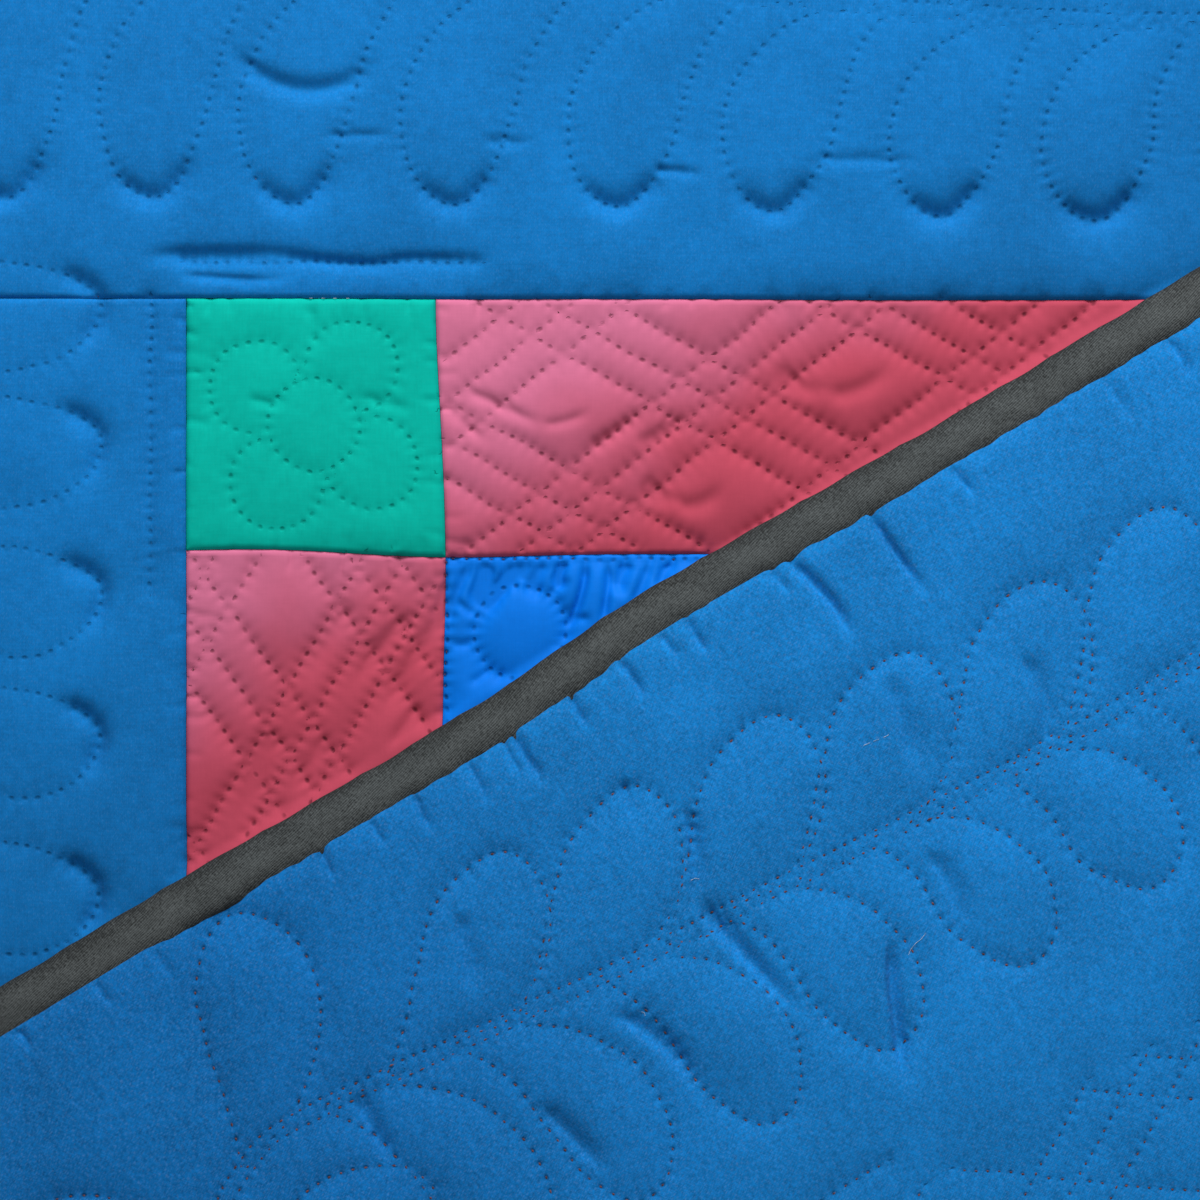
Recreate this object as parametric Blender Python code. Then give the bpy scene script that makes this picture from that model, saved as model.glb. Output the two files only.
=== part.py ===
"""A quilted wall hanging, 30 inches square, lying face up with its right side folded over at a slant.

The quilt is one solid, the three sewn layers together, and its edge is bound by four strips.
Everything is drawn flat first, in metres, with the origin at the middle of the square, +X to the right
and +Y to the top. Each piece is then bent over the fold line and moved, so that the folded quilt is
centred on the origin, with +Z up from the surface that it lies on.
"""

import math

import bmesh
import bpy
import numpy as np
from mathutils import Vector

# Driving sizes of the flat quilt
SIDE = 0.762
BORDER_WIDTH = 0.15875
BAR_WIDTH = 0.0635
BINDING_WIDTH = 0.0127
PIECE_GAP = 0.0006

# Thickness, measured from the sheet through the middle of the layers
HALF_THICK = 0.0025
GROOVE_HALF_THICK = 0.0006
HIDDEN_HALF_THICK = 0.0018
PUFF_WIDTH = 0.006

# The fold: the right edge of the quilt, once turned over, lies at this angle to +X. Its line and the
# line of the edge before the fold meet a little above the top right corner.
TURNED_EDGE_ANGLE = math.radians(31.0)
FOLD_ANGLE = (math.radians(90.0) + TURNED_EDGE_ANGLE) / 2
FOLD_ABOVE_CORNER = 0.0606
FOLD_RADIUS = 0.0055
LAYER_STEP = 0.0055
SETTLE_LENGTH = 0.05
ARC_STEPS = 10
SETTLE_STEPS = 6

# How far the quilting has drawn in each edge between its corners
EDGE_DRAW_IN = 0.0013

# The middle of the folded quilt, seen from above, in the flat quilt's coordinates
LAID_CENTRE = (-0.0178, 0.0147)

# Meshing
CELL = 0.0116
BINDING_STEP = 0.025
PLAIN_ANGLE = math.radians(0.05)

# Feather vine in the outer border. The spine and the inner feathers' heads are set by their distance
# from the quilt's edge, and angles are turned from the spine's own direction.
SPINE_FROM_EDGE = {"right": 0.0735, "top": 0.080, "left": 0.078, "bottom": 0.078}
INNER_HEADS_FROM_EDGE = {"right": 0.125, "top": 0.139, "left": 0.135, "bottom": 0.135}
SPINE_CORNER_RADIUS = 0.035
SPINE_SWAY = 0.010
SPINE_SWAYS = 4
SPINE_SWAY_SHIFT = 0.19
SPINE_HALF_GAP = 0.0019
FEATHER_COUNT = 63
OUTER_SHIFT = 0.56
INNER_SHIFT = 0.08
POINT_STEP = 0.003
OUTER_FEATHER = {"length": 0.065, "width": 0.0305, "start_deg": 12, "end_deg": 62}
INNER_FEATHER = {"reach": 0.82, "width": 0.0275, "start_deg": 20, "end_deg": 112}
INNER_LENGTHS = (0.042, 0.078)
SEAM_LINE_OFFSET = 0.0084

# Crossed lines in the bars: angle of a family, offset of its first line from the bar's end nearest the
# top left corner, spacing in a group, repeat
CROSSED_LINES = {
    "level": [
        {"angle_deg": -29.6, "offset": -0.0109, "spacing": 0.0085, "repeat": 0.0416},
        {"angle_deg": 38.6, "offset": -0.0051, "spacing": 0.0086, "repeat": 0.0404},
    ],
    "upright": [
        {"angle_deg": 60.2, "offset": 0.0116, "spacing": 0.0095, "repeat": 0.0416},
        {"angle_deg": -53.7, "offset": -0.0028, "spacing": 0.0096, "repeat": 0.0416},
    ],
}
LINES_IN_GROUP = 3

# Rosettes in the corner squares, and in the middle panel a wreath of rings with a ring in each corner
ROSETTE_RADIUS = 0.0116
PETAL_DISTANCE = 0.0172
PETAL_COUNT = 4
PETAL_TURN = math.radians(57)
WREATH_RADIUS = 0.088
WREATH_RINGS = 20
WREATH_RING_RADIUS = 0.0138
CORNER_RING_INSET = 0.0195

# Colours, as linear values, with a roughness each
QUILT_BLUE = (0.018, 0.120, 0.400, 1.0)
BINDING_GREY = (0.045, 0.048, 0.045, 1.0)
CLOTH_ROUGHNESS = 0.85

HALF_SIDE = SIDE / 2
BODY_HALF = HALF_SIDE - BINDING_WIDTH - PIECE_GAP
BAR_OUTER = HALF_SIDE - BORDER_WIDTH
BAR_INNER = BAR_OUTER - BAR_WIDTH
FOLD_POINT = np.array([HALF_SIDE, HALF_SIDE + FOLD_ABOVE_CORNER])
FOLD_ALONG = np.array([math.cos(FOLD_ANGLE), math.sin(FOLD_ANGLE)])
FOLD_ACROSS = np.array([math.sin(FOLD_ANGLE), -math.cos(FOLD_ANGLE)])
ARC_HALF = math.pi * FOLD_RADIUS / 2


def smooth_step(x):
    x = np.clip(x, 0, 1)
    return x * x * (3 - 2 * x)


def across_fold(points):
    """Signed distance from the fold line, positive on the side that is turned over."""
    return (points - FOLD_POINT) @ FOLD_ACROSS


def mirrored(points):
    """The points reflected in the fold line."""
    return points - 2 * across_fold(points)[:, None] * FOLD_ACROSS


def drawn_in(points):
    """Points seen from above after the quilting has pulled each edge in a little between its corners."""
    share = (points + HALF_SIDE) / SIDE
    ripple = 0.6 + 0.4 * np.sin(5 * math.pi * share + 0.8)
    pull = EDGE_DRAW_IN * (np.sin(math.pi * share) ** 2 * ripple)[:, ::-1]
    centred = points / HALF_SIDE
    return points - pull * centred * np.abs(centred)


def folded(points, offset):
    """Flat points, each at an offset towards the front from the middle sheet, bent over the fold."""
    s = across_fold(points)
    along = (points - FOLD_POINT) @ FOLD_ALONG
    turn = np.clip((s + ARC_HALF) / FOLD_RADIUS, 0, math.pi)
    past = np.maximum(s - ARC_HALF, 0)
    settled = (2 * FOLD_RADIUS - LAYER_STEP) * smooth_step(past / SETTLE_LENGTH)
    reach = np.minimum(s, -ARC_HALF) + (FOLD_RADIUS - offset) * np.sin(turn) - past
    height = HALF_THICK + FOLD_RADIUS - (FOLD_RADIUS - offset) * np.cos(turn) - settled
    flat = FOLD_POINT + along[:, None] * FOLD_ALONG + reach[:, None] * FOLD_ACROSS
    return np.column_stack([drawn_in(flat) - LAID_CENTRE, height])


def by_side(sizes, normal):
    """A size that differs from side to side, blended round the corners by the outward normal."""
    weight = np.column_stack([normal.clip(0), (-normal).clip(0)]) ** 2
    return weight @ [sizes["right"], sizes["top"], sizes["left"], sizes["bottom"]]


def spine_of_vine():
    """Points and outward normals along the closed spine, which runs anticlockwise round the border."""
    line, normal = [], []
    r = SPINE_CORNER_RADIUS
    half = HALF_SIDE - np.mean(list(SPINE_FROM_EDGE.values()))
    corner = half - r
    for quarter in range(4):
        turns = np.linspace(quarter, quarter + 1, 20) * math.pi / 2
        around = np.column_stack([np.cos(turns), np.sin(turns)])
        side = np.array([around[0], [-around[0][1], around[0][0]]])
        straight = np.arange(-corner, corner, POINT_STEP)
        line.append(half * side[0] + straight[:, None] * side[1])
        normal.append(np.tile(side[0], (len(straight), 1)))
        line.append(corner * (side[0] + side[1]) + r * around)
        normal.append(around)
    line, normal = np.vstack(line), np.vstack(normal)
    run = np.concatenate([[0], np.cumsum(np.linalg.norm(np.diff(line, axis=0), axis=1))]) - corner
    length = run[-1] + corner
    phase = 2 * math.pi * SPINE_SWAYS * (run + SPINE_SWAY_SHIFT) / length
    inset = by_side(SPINE_FROM_EDGE, normal) - (HALF_SIDE - half) + SPINE_SWAY * np.sin(phase)
    return line - inset[:, None] * normal, normal, (run + corner) / length


def feather(tail, heading, side, length, shape):
    """The outline of one feather: a drop with a bent axis, from its tail on the spine and back."""
    share = np.sin(np.linspace(0, math.pi / 2, 18))
    angle = heading + side * np.radians(shape["start_deg"] + (shape["end_deg"] - shape["start_deg"]) * share)
    ahead = np.column_stack([np.cos(angle), np.sin(angle)])
    steps = length * np.diff(share)[:, None] * (ahead[1:] + ahead[:-1]) / 2
    axis = tail + np.vstack([[0, 0], np.cumsum(steps, axis=0)])
    half = shape["width"] / 2 * np.sin(math.pi * share**1.6).clip(0) ** 0.55
    beside = half[:, None] * np.column_stack([-ahead[:, 1], ahead[:, 0]])
    return np.vstack([axis + beside, (axis - beside)[-2::-1]])


def vine_lines():
    """The spine as two close lines, and a feather to each side of it at every step along the run."""
    line, normal, share = spine_of_vine()
    lines = [line + SPINE_HALF_GAP * normal, line - SPINE_HALF_GAP * normal]
    edge = HALF_SIDE - (line * normal).sum(axis=1)
    reach = (by_side(INNER_HEADS_FROM_EDGE, normal) - edge) / INNER_FEATHER["reach"]
    for i in range(FEATHER_COUNT):
        for side, shift in ((-1, OUTER_SHIFT), (1, INNER_SHIFT)):
            at = np.searchsorted(share, (i + shift) / FEATHER_COUNT)
            ahead = line[(at + 1) % len(line)] - line[at - 1]
            heading = math.atan2(ahead[1], ahead[0])
            inside_corner = side > 0 and min(np.abs(normal[at])) > 0.1
            if side < 0:
                lines.append(feather(line[at], heading, side, OUTER_FEATHER["length"], OUTER_FEATHER))
            elif not inside_corner:
                length = min(max(reach[at], INNER_LENGTHS[0]), INNER_LENGTHS[1])
                lines.append(feather(line[at], heading, side, length, INNER_FEATHER))
    return lines


def crossed_lines(rule, low, high, start):
    """Groups of parallel straight lines in two directions, set out from a start point in a rectangle."""
    lines = []
    reach = np.linalg.norm(np.array(high) - low)
    for family in rule:
        angle = math.radians(family["angle_deg"])
        along = np.array([math.cos(angle), math.sin(angle)])
        across = np.array([-along[1], along[0]])
        groups = math.ceil(reach / family["repeat"])
        for group in range(-groups, groups + 1):
            for k in range(LINES_IN_GROUP):
                offset = family["offset"] + group * family["repeat"] + k * family["spacing"]
                points = start + offset * across + np.arange(-reach, reach, POINT_STEP)[:, None] * along
                inside = ((points > low) & (points < high)).all(axis=1)
                if inside.sum() > 2:
                    lines.append(points[inside])
    return lines


def ring(centre, radius, count=24):
    turns = np.linspace(0, 2 * math.pi, count + 1)
    return np.array(centre) + radius * np.column_stack([np.cos(turns), np.sin(turns)])


def rosette_lines(centre):
    """A round eye with four petals that stop at it."""
    lines = [ring(centre, ROSETTE_RADIUS)]
    for i in range(PETAL_COUNT):
        turn = PETAL_TURN + i * 2 * math.pi / PETAL_COUNT
        petal = ring(np.array(centre) + PETAL_DISTANCE * np.array([math.cos(turn), math.sin(turn)]), ROSETTE_RADIUS)
        lines.append(petal[np.linalg.norm(petal - centre, axis=1) > ROSETTE_RADIUS])
    return lines


def quilting_lines():
    """Every line of quilting on the flat quilt, as arrays of points."""
    lines = vine_lines()
    edge = BAR_OUTER + SEAM_LINE_OFFSET
    corners = np.array([(-edge, edge), (-edge, -edge), (edge, -edge), (edge, edge), (-edge, edge)])
    lines += [np.linspace(a, b, 150) for a, b in zip(corners, corners[1:])]
    for side in (-1, 1):
        low, high = sorted((side * BAR_INNER, side * BAR_OUTER))
        middle = (low + high) / 2
        lines += crossed_lines(CROSSED_LINES["level"], (-BAR_INNER, low), (BAR_INNER, high), (-BAR_INNER, middle))
        lines += crossed_lines(CROSSED_LINES["upright"], (low, -BAR_INNER), (high, BAR_INNER), (middle, BAR_INNER))
        for other in (-1, 1):
            lines += rosette_lines((middle, other * abs(middle)))
            ring_at = BAR_INNER - CORNER_RING_INSET
            lines.append(ring((side * ring_at, other * ring_at), ROSETTE_RADIUS))
    lines += rosette_lines((0, 0))
    lines.append(ring((0, 0), WREATH_RADIUS - WREATH_RING_RADIUS / 2, 60))
    for i in range(WREATH_RINGS):
        turn = 2 * math.pi * i / WREATH_RINGS
        at = WREATH_RADIUS * np.array([math.cos(turn), math.sin(turn)])
        lines.append(ring(at, WREATH_RING_RADIUS))
    return lines


def seam_distance(points):
    """Distance to the nearest seam: long seams under the top border, short ones between them."""
    x, y = np.abs(points).T
    long_seams = np.minimum(np.abs(y - BAR_OUTER), np.where(x < BAR_OUTER, np.abs(y - BAR_INNER), SIDE))
    short_seams = np.minimum(np.abs(x - BAR_OUTER), np.abs(x - BAR_INNER))
    return np.minimum(long_seams, np.where(y < BAR_OUTER, short_seams, SIDE))


def puff(points, stitched):
    """0 in a stitched groove, rising to 1 in the middle of a puffed field."""
    nearest = np.full(len(points), np.inf)
    for block in np.array_split(stitched, max(1, len(stitched) // 400)):
        nearest = np.minimum(nearest, ((points[:, None] - block[None]) ** 2).sum(-1).min(axis=1))
    distance = np.minimum(np.sqrt(nearest), seam_distance(points))
    return 1 - np.exp(-distance / PUFF_WIDTH)


def fold_cuts():
    """Distances across the fold at which every piece gets an edge, so that it bends along the fold."""
    arc = np.linspace(-ARC_HALF, ARC_HALF, ARC_STEPS + 1)
    settle = ARC_HALF + np.linspace(0, SETTLE_LENGTH, SETTLE_STEPS + 1)[1:]
    return np.concatenate([arc, settle])


def bisect(mesh, point, normal, clear=False):
    geometry = mesh.verts[:] + mesh.edges[:] + mesh.faces[:]
    bmesh.ops.bisect_plane(
        mesh, geom=geometry, dist=1e-7, plane_co=Vector((*point, 0)), plane_no=Vector((*normal, 0)), clear_outer=clear
    )


def material(name, colour):
    made = bpy.data.materials.new(name)
    made.use_nodes = True
    shader = made.node_tree.nodes["Principled BSDF"]
    shader.inputs["Base Color"].default_value = colour
    shader.inputs["Roughness"].default_value = CLOTH_ROUGHNESS
    shader.inputs["Metallic"].default_value = 0.0
    return made


def finish_object(name, mesh, look, collection):
    data = bpy.data.meshes.new(name)
    bmesh.ops.recalc_face_normals(mesh, faces=mesh.faces[:])
    mesh.to_mesh(data)
    mesh.free()
    data.materials.append(look)
    data.shade_smooth()
    data.set_sharp_from_angle(angle=math.radians(40))
    made = bpy.data.objects.new(name, data)
    collection.objects.link(made)
    return made


def quilt_body(collection, look):
    """The three layers as one solid: a flat grid along the fold, trimmed square, raised and bent."""
    mesh = bmesh.new()
    half_count = math.ceil(-across_fold(np.array([[-HALF_SIDE, HALF_SIDE]]))[0] / CELL) + 1
    bmesh.ops.create_grid(mesh, x_segments=2 * half_count, y_segments=2 * half_count, size=half_count * CELL)
    middle = FOLD_POINT + FOLD_ALONG * (-FOLD_POINT @ FOLD_ALONG)
    cuts = fold_cuts()
    low, high = cuts[0], cuts[-1]
    for v in mesh.verts:
        s = v.co.x
        if abs(s) > CELL / 2:
            s += low + CELL if s < 0 else high - CELL
        x, y = middle + s * FOLD_ACROSS + v.co.y * FOLD_ALONG
        v.co = (x, y, 0)
    for s in cuts[1:-1]:
        bisect(mesh, middle + s * FOLD_ACROSS, FOLD_ACROSS)
    for normal in ((1, 0), (-1, 0), (0, 1), (0, -1)):
        bisect(mesh, BODY_HALF * np.array(normal), normal, clear=True)
    bmesh.ops.remove_doubles(mesh, verts=mesh.verts[:], dist=0.0001)
    front = bmesh.ops.extrude_face_region(mesh, geom=mesh.faces[:])["geom"]
    bmesh.ops.translate(mesh, vec=(0, 0, 1), verts=[g for g in front if isinstance(g, bmesh.types.BMVert)])

    flat = np.array([v.co for v in mesh.verts])
    points, is_front = flat[:, :2], flat[:, 2] > 0.5
    raised = puff(points, np.vstack(quilting_lines()))
    s = across_fold(points)
    beyond = np.abs(mirrored(points)).max(axis=1) - HALF_SIDE
    seen_front = np.where(s < -ARC_HALF, smooth_step(beyond / 0.004 + 0.5), 0)
    seen_back = smooth_step((s + ARC_HALF - 0.001) / 0.008)
    relief = GROOVE_HALF_THICK + (HALF_THICK - GROOVE_HALF_THICK) * raised
    front_offset = HIDDEN_HALF_THICK + (relief - HIDDEN_HALF_THICK) * seen_front
    back_offset = HALF_THICK + (relief - HALF_THICK) * seen_back
    placed = folded(points, np.where(is_front, front_offset, -back_offset))
    for vertex, co in zip(mesh.verts, placed):
        vertex.co = co

    on_outline = np.abs(points).max(axis=1) > BODY_HALF - 1e-5
    plain = [e for e in mesh.edges if e.calc_face_angle(1) < PLAIN_ANGLE]
    inside = [v for v, edge in zip(mesh.verts, on_outline) if not edge]
    bmesh.ops.dissolve_limit(mesh, angle_limit=PLAIN_ANGLE, verts=inside, edges=plain)
    bmesh.ops.triangulate(mesh, faces=mesh.faces[:])
    return finish_object("quilt", mesh, look, collection)


def binding_strip(name, low, high, outer, collection, look):
    """One filled binding strip: a bar with a round outer edge, cut along the fold lines and bent."""
    mesh = bmesh.new()
    bmesh.ops.create_cube(mesh, size=1.0)
    size = np.array(high) - low
    middle = (np.array(high) + low) / 2
    bmesh.ops.scale(mesh, vec=(size[0], size[1], 2 * HALF_THICK), verts=mesh.verts[:])
    bmesh.ops.translate(mesh, vec=(*middle, 0), verts=mesh.verts[:])
    axis = 0 if outer[0] else 1
    edge_at = outer[axis] * HALF_SIDE
    rounded, eased = [], []
    for e in mesh.edges:
        a, b = (v.co for v in e.verts)
        if abs((a - b)[1 - axis]) > BINDING_WIDTH * 2:
            (rounded if abs(a[axis] - edge_at) < 1e-4 else eased).append(e)
    bmesh.ops.bevel(mesh, geom=rounded, offset=HALF_THICK * 0.9, affect="EDGES", segments=2, profile=0.5, material=-1)
    eased = [e for e in eased if e.is_valid]
    bmesh.ops.bevel(mesh, geom=eased, offset=HALF_THICK * 0.4, affect="EDGES", segments=1, profile=0.5, material=-1)
    along = np.array([0.0, 1.0]) if axis == 0 else np.array([1.0, 0.0])
    length = size[1 - axis]
    steps = round(length / BINDING_STEP)
    for i in range(1, steps):
        bisect(mesh, np.array(low) + along * length * i / steps, along)
    for s in fold_cuts():
        bisect(mesh, FOLD_POINT + s * FOLD_ACROSS, FOLD_ACROSS)
    bmesh.ops.remove_doubles(mesh, verts=mesh.verts[:], dist=0.00008)
    flat = np.array([v.co for v in mesh.verts])
    for vertex, co in zip(mesh.verts, folded(flat[:, :2], flat[:, 2])):
        vertex.co = co
    bmesh.ops.triangulate(mesh, faces=mesh.faces[:])
    return finish_object(name, mesh, look, collection)


def main():
    for old in list(bpy.data.objects):
        bpy.data.objects.remove(old, do_unlink=True)
    collection = bpy.data.collections.new("quilted_wall_hanging")
    bpy.context.scene.collection.children.link(collection)
    quilt_body(collection, material("quilt_cloth", QUILT_BLUE))
    binding = material("binding_cloth", BINDING_GREY)
    inner = HALF_SIDE - BINDING_WIDTH
    butt = inner - PIECE_GAP
    binding_strip("binding_top", (-HALF_SIDE, inner), (HALF_SIDE, HALF_SIDE), (0, 1), collection, binding)
    binding_strip("binding_bottom", (-HALF_SIDE, -HALF_SIDE), (HALF_SIDE, -inner), (0, -1), collection, binding)
    binding_strip("binding_left", (-HALF_SIDE, -butt), (-inner, butt), (-1, 0), collection, binding)
    binding_strip("binding_right", (inner, -butt), (HALF_SIDE, butt), (1, 0), collection, binding)


main()
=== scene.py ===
"""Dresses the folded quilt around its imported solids.

The quilt is a 30 inch square of plain cotton cloths, quilted by hand, that lies face up with its right
side folded over at a slant. Each cloth is drawn flat in the quilt's own plane, in metres, with the origin
at the middle of the square and +Y to its top edge. It is then laid on the folded shape that the solids
have, with the front of the quilt up on the part that isn't folded over.
"""

import math

import bmesh
import bpy
import numpy as np
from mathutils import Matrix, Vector, kdtree


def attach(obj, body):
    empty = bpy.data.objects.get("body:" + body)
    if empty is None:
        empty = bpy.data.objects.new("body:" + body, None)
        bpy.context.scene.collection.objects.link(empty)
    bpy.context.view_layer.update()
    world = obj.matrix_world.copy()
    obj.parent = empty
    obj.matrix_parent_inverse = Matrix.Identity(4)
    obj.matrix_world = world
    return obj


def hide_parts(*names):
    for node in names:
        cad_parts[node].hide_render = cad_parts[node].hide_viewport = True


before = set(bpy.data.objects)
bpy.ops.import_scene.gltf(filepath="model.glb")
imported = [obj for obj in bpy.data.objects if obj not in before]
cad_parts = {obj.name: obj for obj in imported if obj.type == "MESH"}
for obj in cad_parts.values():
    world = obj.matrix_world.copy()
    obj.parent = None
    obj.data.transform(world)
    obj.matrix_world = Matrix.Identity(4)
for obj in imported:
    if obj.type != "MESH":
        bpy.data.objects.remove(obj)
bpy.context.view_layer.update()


# The marked pattern. Before the layers are sewn together, the maker marks the lines of the quilting on
# the top: a feather vine round the border, crossed lines in the bars, rosettes in the corner squares
# and a wreath of rings in the middle.
SIDE = 0.762
HALF_SIDE = SIDE / 2
BORDER_WIDTH = 0.15875
BAR_WIDTH = 0.0635
BAR_OUTER = HALF_SIDE - BORDER_WIDTH
BAR_INNER = BAR_OUTER - BAR_WIDTH
MARK_STEP = 0.001
STITCH_PITCH = 0.00305
LONG_STITCH_PITCH = 0.0034
HAND_WANDER = 0.00028
WANDER_SIZE = 0.008
STITCH_UNEVEN = 0.2
STITCH_UNEVEN_RUN = 0.0061

SPINE_FROM_EDGE = {"right": 0.0735, "top": 0.080, "left": 0.078, "bottom": 0.078}
INNER_HEADS_FROM_EDGE = {"right": 0.125, "top": 0.139, "left": 0.135, "bottom": 0.135}
SPINE_CORNER_RADIUS = 0.035
SPINE_SWAY = 0.010
SPINE_SWAYS = 4
SPINE_SWAY_SHIFT = 0.19
SPINE_HALF_GAP = 0.0019
SPINE_STEP = 0.003
FEATHER_COUNT = 63
OUTER_SHIFT = 0.56
INNER_SHIFT = 0.08
OUTER_FEATHER = {"length": 0.065, "width": 0.0305, "start_deg": 12, "end_deg": 62}
INNER_FEATHER = {"reach": 0.82, "width": 0.0275, "start_deg": 20, "end_deg": 112}
INNER_LENGTHS = (0.042, 0.078)
FEATHER_POINTS = 18
HEAD_START = 0.86
HEAD_BLEND = 0.1
OUTER_PULL = 0.15
INNER_PULL = 1.0

SEAM_LINE_OFFSET = 0.0088
SEAM_LINE_END = 0.150
DITCH_OFFSET = 0.0012
CROSSED_LINES = {
    "level": [
        {"angle_deg": -29.6, "offset": -0.0109, "spacing": 0.0085, "repeat": 0.0416},
        {"angle_deg": 38.6, "offset": -0.0051, "spacing": 0.0086, "repeat": 0.0404},
    ],
    "upright": [
        {"angle_deg": 60.2, "offset": 0.0116, "spacing": 0.0095, "repeat": 0.0416},
        {"angle_deg": -53.7, "offset": -0.0028, "spacing": 0.0096, "repeat": 0.0416},
    ],
}
LINES_IN_GROUP = 3
ROSETTE_RADIUS = 0.0116
PETAL_DISTANCE = 0.0172
PETAL_COUNT = 4
PETAL_TURN = math.radians(57)
WREATH_RADIUS = 0.088
WREATH_RINGS = 20
WREATH_RING_RADIUS = 0.0138
CORNER_RING_INSET = 0.0195


def smooth_step(x):
    x = np.clip(x, 0, 1)
    return x * x * (3 - 2 * x)


def unevenness(points, size):
    """A smooth field from about -1 to 1 with bumps of about the given size, the same at every run."""
    total = np.zeros(len(points))
    for i in range(7):
        turn = 0.7 + 2.4 * i
        heading = np.array([math.cos(turn), math.sin(turn)]) * 2 * math.pi / (size * (1.6 + 0.22 * i))
        total += np.sin(points @ heading + 1.7 * i)
    return total / 3


def by_side(sizes, normal):
    """A size that differs from side to side, blended round the corners by the outward normal."""
    weight = np.column_stack([normal.clip(0), (-normal).clip(0)]) ** 2
    return weight @ [sizes["right"], sizes["top"], sizes["left"], sizes["bottom"]]


def spine_of_vine():
    """Points and outward normals along the closed spine, which runs anticlockwise round the border."""
    line, normal = [], []
    half = HALF_SIDE - np.mean(list(SPINE_FROM_EDGE.values()))
    corner = half - SPINE_CORNER_RADIUS
    for quarter in range(4):
        turns = np.linspace(quarter, quarter + 1, 20) * math.pi / 2
        around = np.column_stack([np.cos(turns), np.sin(turns)])
        side = np.array([around[0], [-around[0][1], around[0][0]]])
        straight = np.arange(-corner, corner, SPINE_STEP)
        line.append(half * side[0] + straight[:, None] * side[1])
        normal.append(np.tile(side[0], (len(straight), 1)))
        line.append(corner * (side[0] + side[1]) + SPINE_CORNER_RADIUS * around)
        normal.append(around)
    line, normal = np.vstack(line), np.vstack(normal)
    run = np.concatenate([[0], np.cumsum(np.linalg.norm(np.diff(line, axis=0), axis=1))]) - corner
    length = run[-1] + corner
    phase = 2 * math.pi * SPINE_SWAYS * (run + SPINE_SWAY_SHIFT) / length
    inset = by_side(SPINE_FROM_EDGE, normal) - (HALF_SIDE - half) + SPINE_SWAY * np.sin(phase)
    return line - inset[:, None] * normal, normal, (run + corner) / length


def feather(tail, heading, side, length, shape, pull):
    """The outline of one feather, a drop with a bent axis, and how hard its stitches pull at each point."""
    share = np.sin(np.linspace(0, math.pi / 2, FEATHER_POINTS))
    angle = heading + side * np.radians(shape["start_deg"] + (shape["end_deg"] - shape["start_deg"]) * share)
    ahead = np.column_stack([np.cos(angle), np.sin(angle)])
    steps = length * np.diff(share)[:, None] * (ahead[1:] + ahead[:-1]) / 2
    axis = tail + np.vstack([[0, 0], np.cumsum(steps, axis=0)])
    half = shape["width"] / 2 * np.sin(math.pi * share**1.6).clip(0) ** 0.55
    beside = half[:, None] * np.column_stack([-ahead[:, 1], ahead[:, 0]])
    head = pull * smooth_step((share - HEAD_START) / HEAD_BLEND)
    return np.vstack([axis + beside, (axis - beside)[-2::-1]]), np.concatenate([head, head[-2::-1]])


def vine_lines():
    """The spine as two close lines, and a feather to each side of it at every step along the run."""
    line, normal, share = spine_of_vine()
    calm = np.zeros(len(line))
    lines = [(line + SPINE_HALF_GAP * normal, calm), (line - SPINE_HALF_GAP * normal, calm)]
    edge = HALF_SIDE - (line * normal).sum(axis=1)
    reach = (by_side(INNER_HEADS_FROM_EDGE, normal) - edge) / INNER_FEATHER["reach"]
    for i in range(FEATHER_COUNT):
        for side, shift in ((-1, OUTER_SHIFT), (1, INNER_SHIFT)):
            at = np.searchsorted(share, (i + shift) / FEATHER_COUNT)
            ahead = line[(at + 1) % len(line)] - line[at - 1]
            heading = math.atan2(ahead[1], ahead[0])
            inside_corner = side > 0 and min(np.abs(normal[at])) > 0.1
            if side < 0:
                length = OUTER_FEATHER["length"]
                lines.append(feather(line[at], heading, side, length, OUTER_FEATHER, OUTER_PULL))
            elif not inside_corner:
                length = min(max(reach[at], INNER_LENGTHS[0]), INNER_LENGTHS[1])
                lines.append(feather(line[at], heading, side, length, INNER_FEATHER, INNER_PULL))
    return lines


def crossed_lines(rule, low, high, start):
    """Groups of parallel straight lines in two directions, set out from a start point in a rectangle."""
    lines = []
    reach = np.linalg.norm(np.array(high) - low)
    for family in rule:
        angle = math.radians(family["angle_deg"])
        along = np.array([math.cos(angle), math.sin(angle)])
        across = np.array([-along[1], along[0]])
        groups = math.ceil(reach / family["repeat"])
        for group in range(-groups, groups + 1):
            for k in range(LINES_IN_GROUP):
                offset = family["offset"] + group * family["repeat"] + k * family["spacing"]
                points = start + offset * across + np.arange(-reach, reach, SPINE_STEP)[:, None] * along
                inside = ((points > low) & (points < high)).all(axis=1)
                if inside.sum() > 2:
                    lines.append(points[inside])
    return lines


def ring(centre, radius, count=24):
    turns = np.linspace(0, 2 * math.pi, count + 1)
    return np.array(centre) + radius * np.column_stack([np.cos(turns), np.sin(turns)])


def rosette_lines(centre):
    """A round eye with four petals that stop at it."""
    lines = [ring(centre, ROSETTE_RADIUS)]
    for i in range(PETAL_COUNT):
        turn = PETAL_TURN + i * 2 * math.pi / PETAL_COUNT
        middle = np.array(centre) + PETAL_DISTANCE * np.array([math.cos(turn), math.sin(turn)])
        petal = ring(middle, ROSETTE_RADIUS)
        opening = np.argmin(np.linalg.norm(petal - centre, axis=1))
        petal = np.roll(petal[:-1], -opening, axis=0)
        lines.append(petal[np.linalg.norm(petal - centre, axis=1) > ROSETTE_RADIUS])
    return lines


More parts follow.
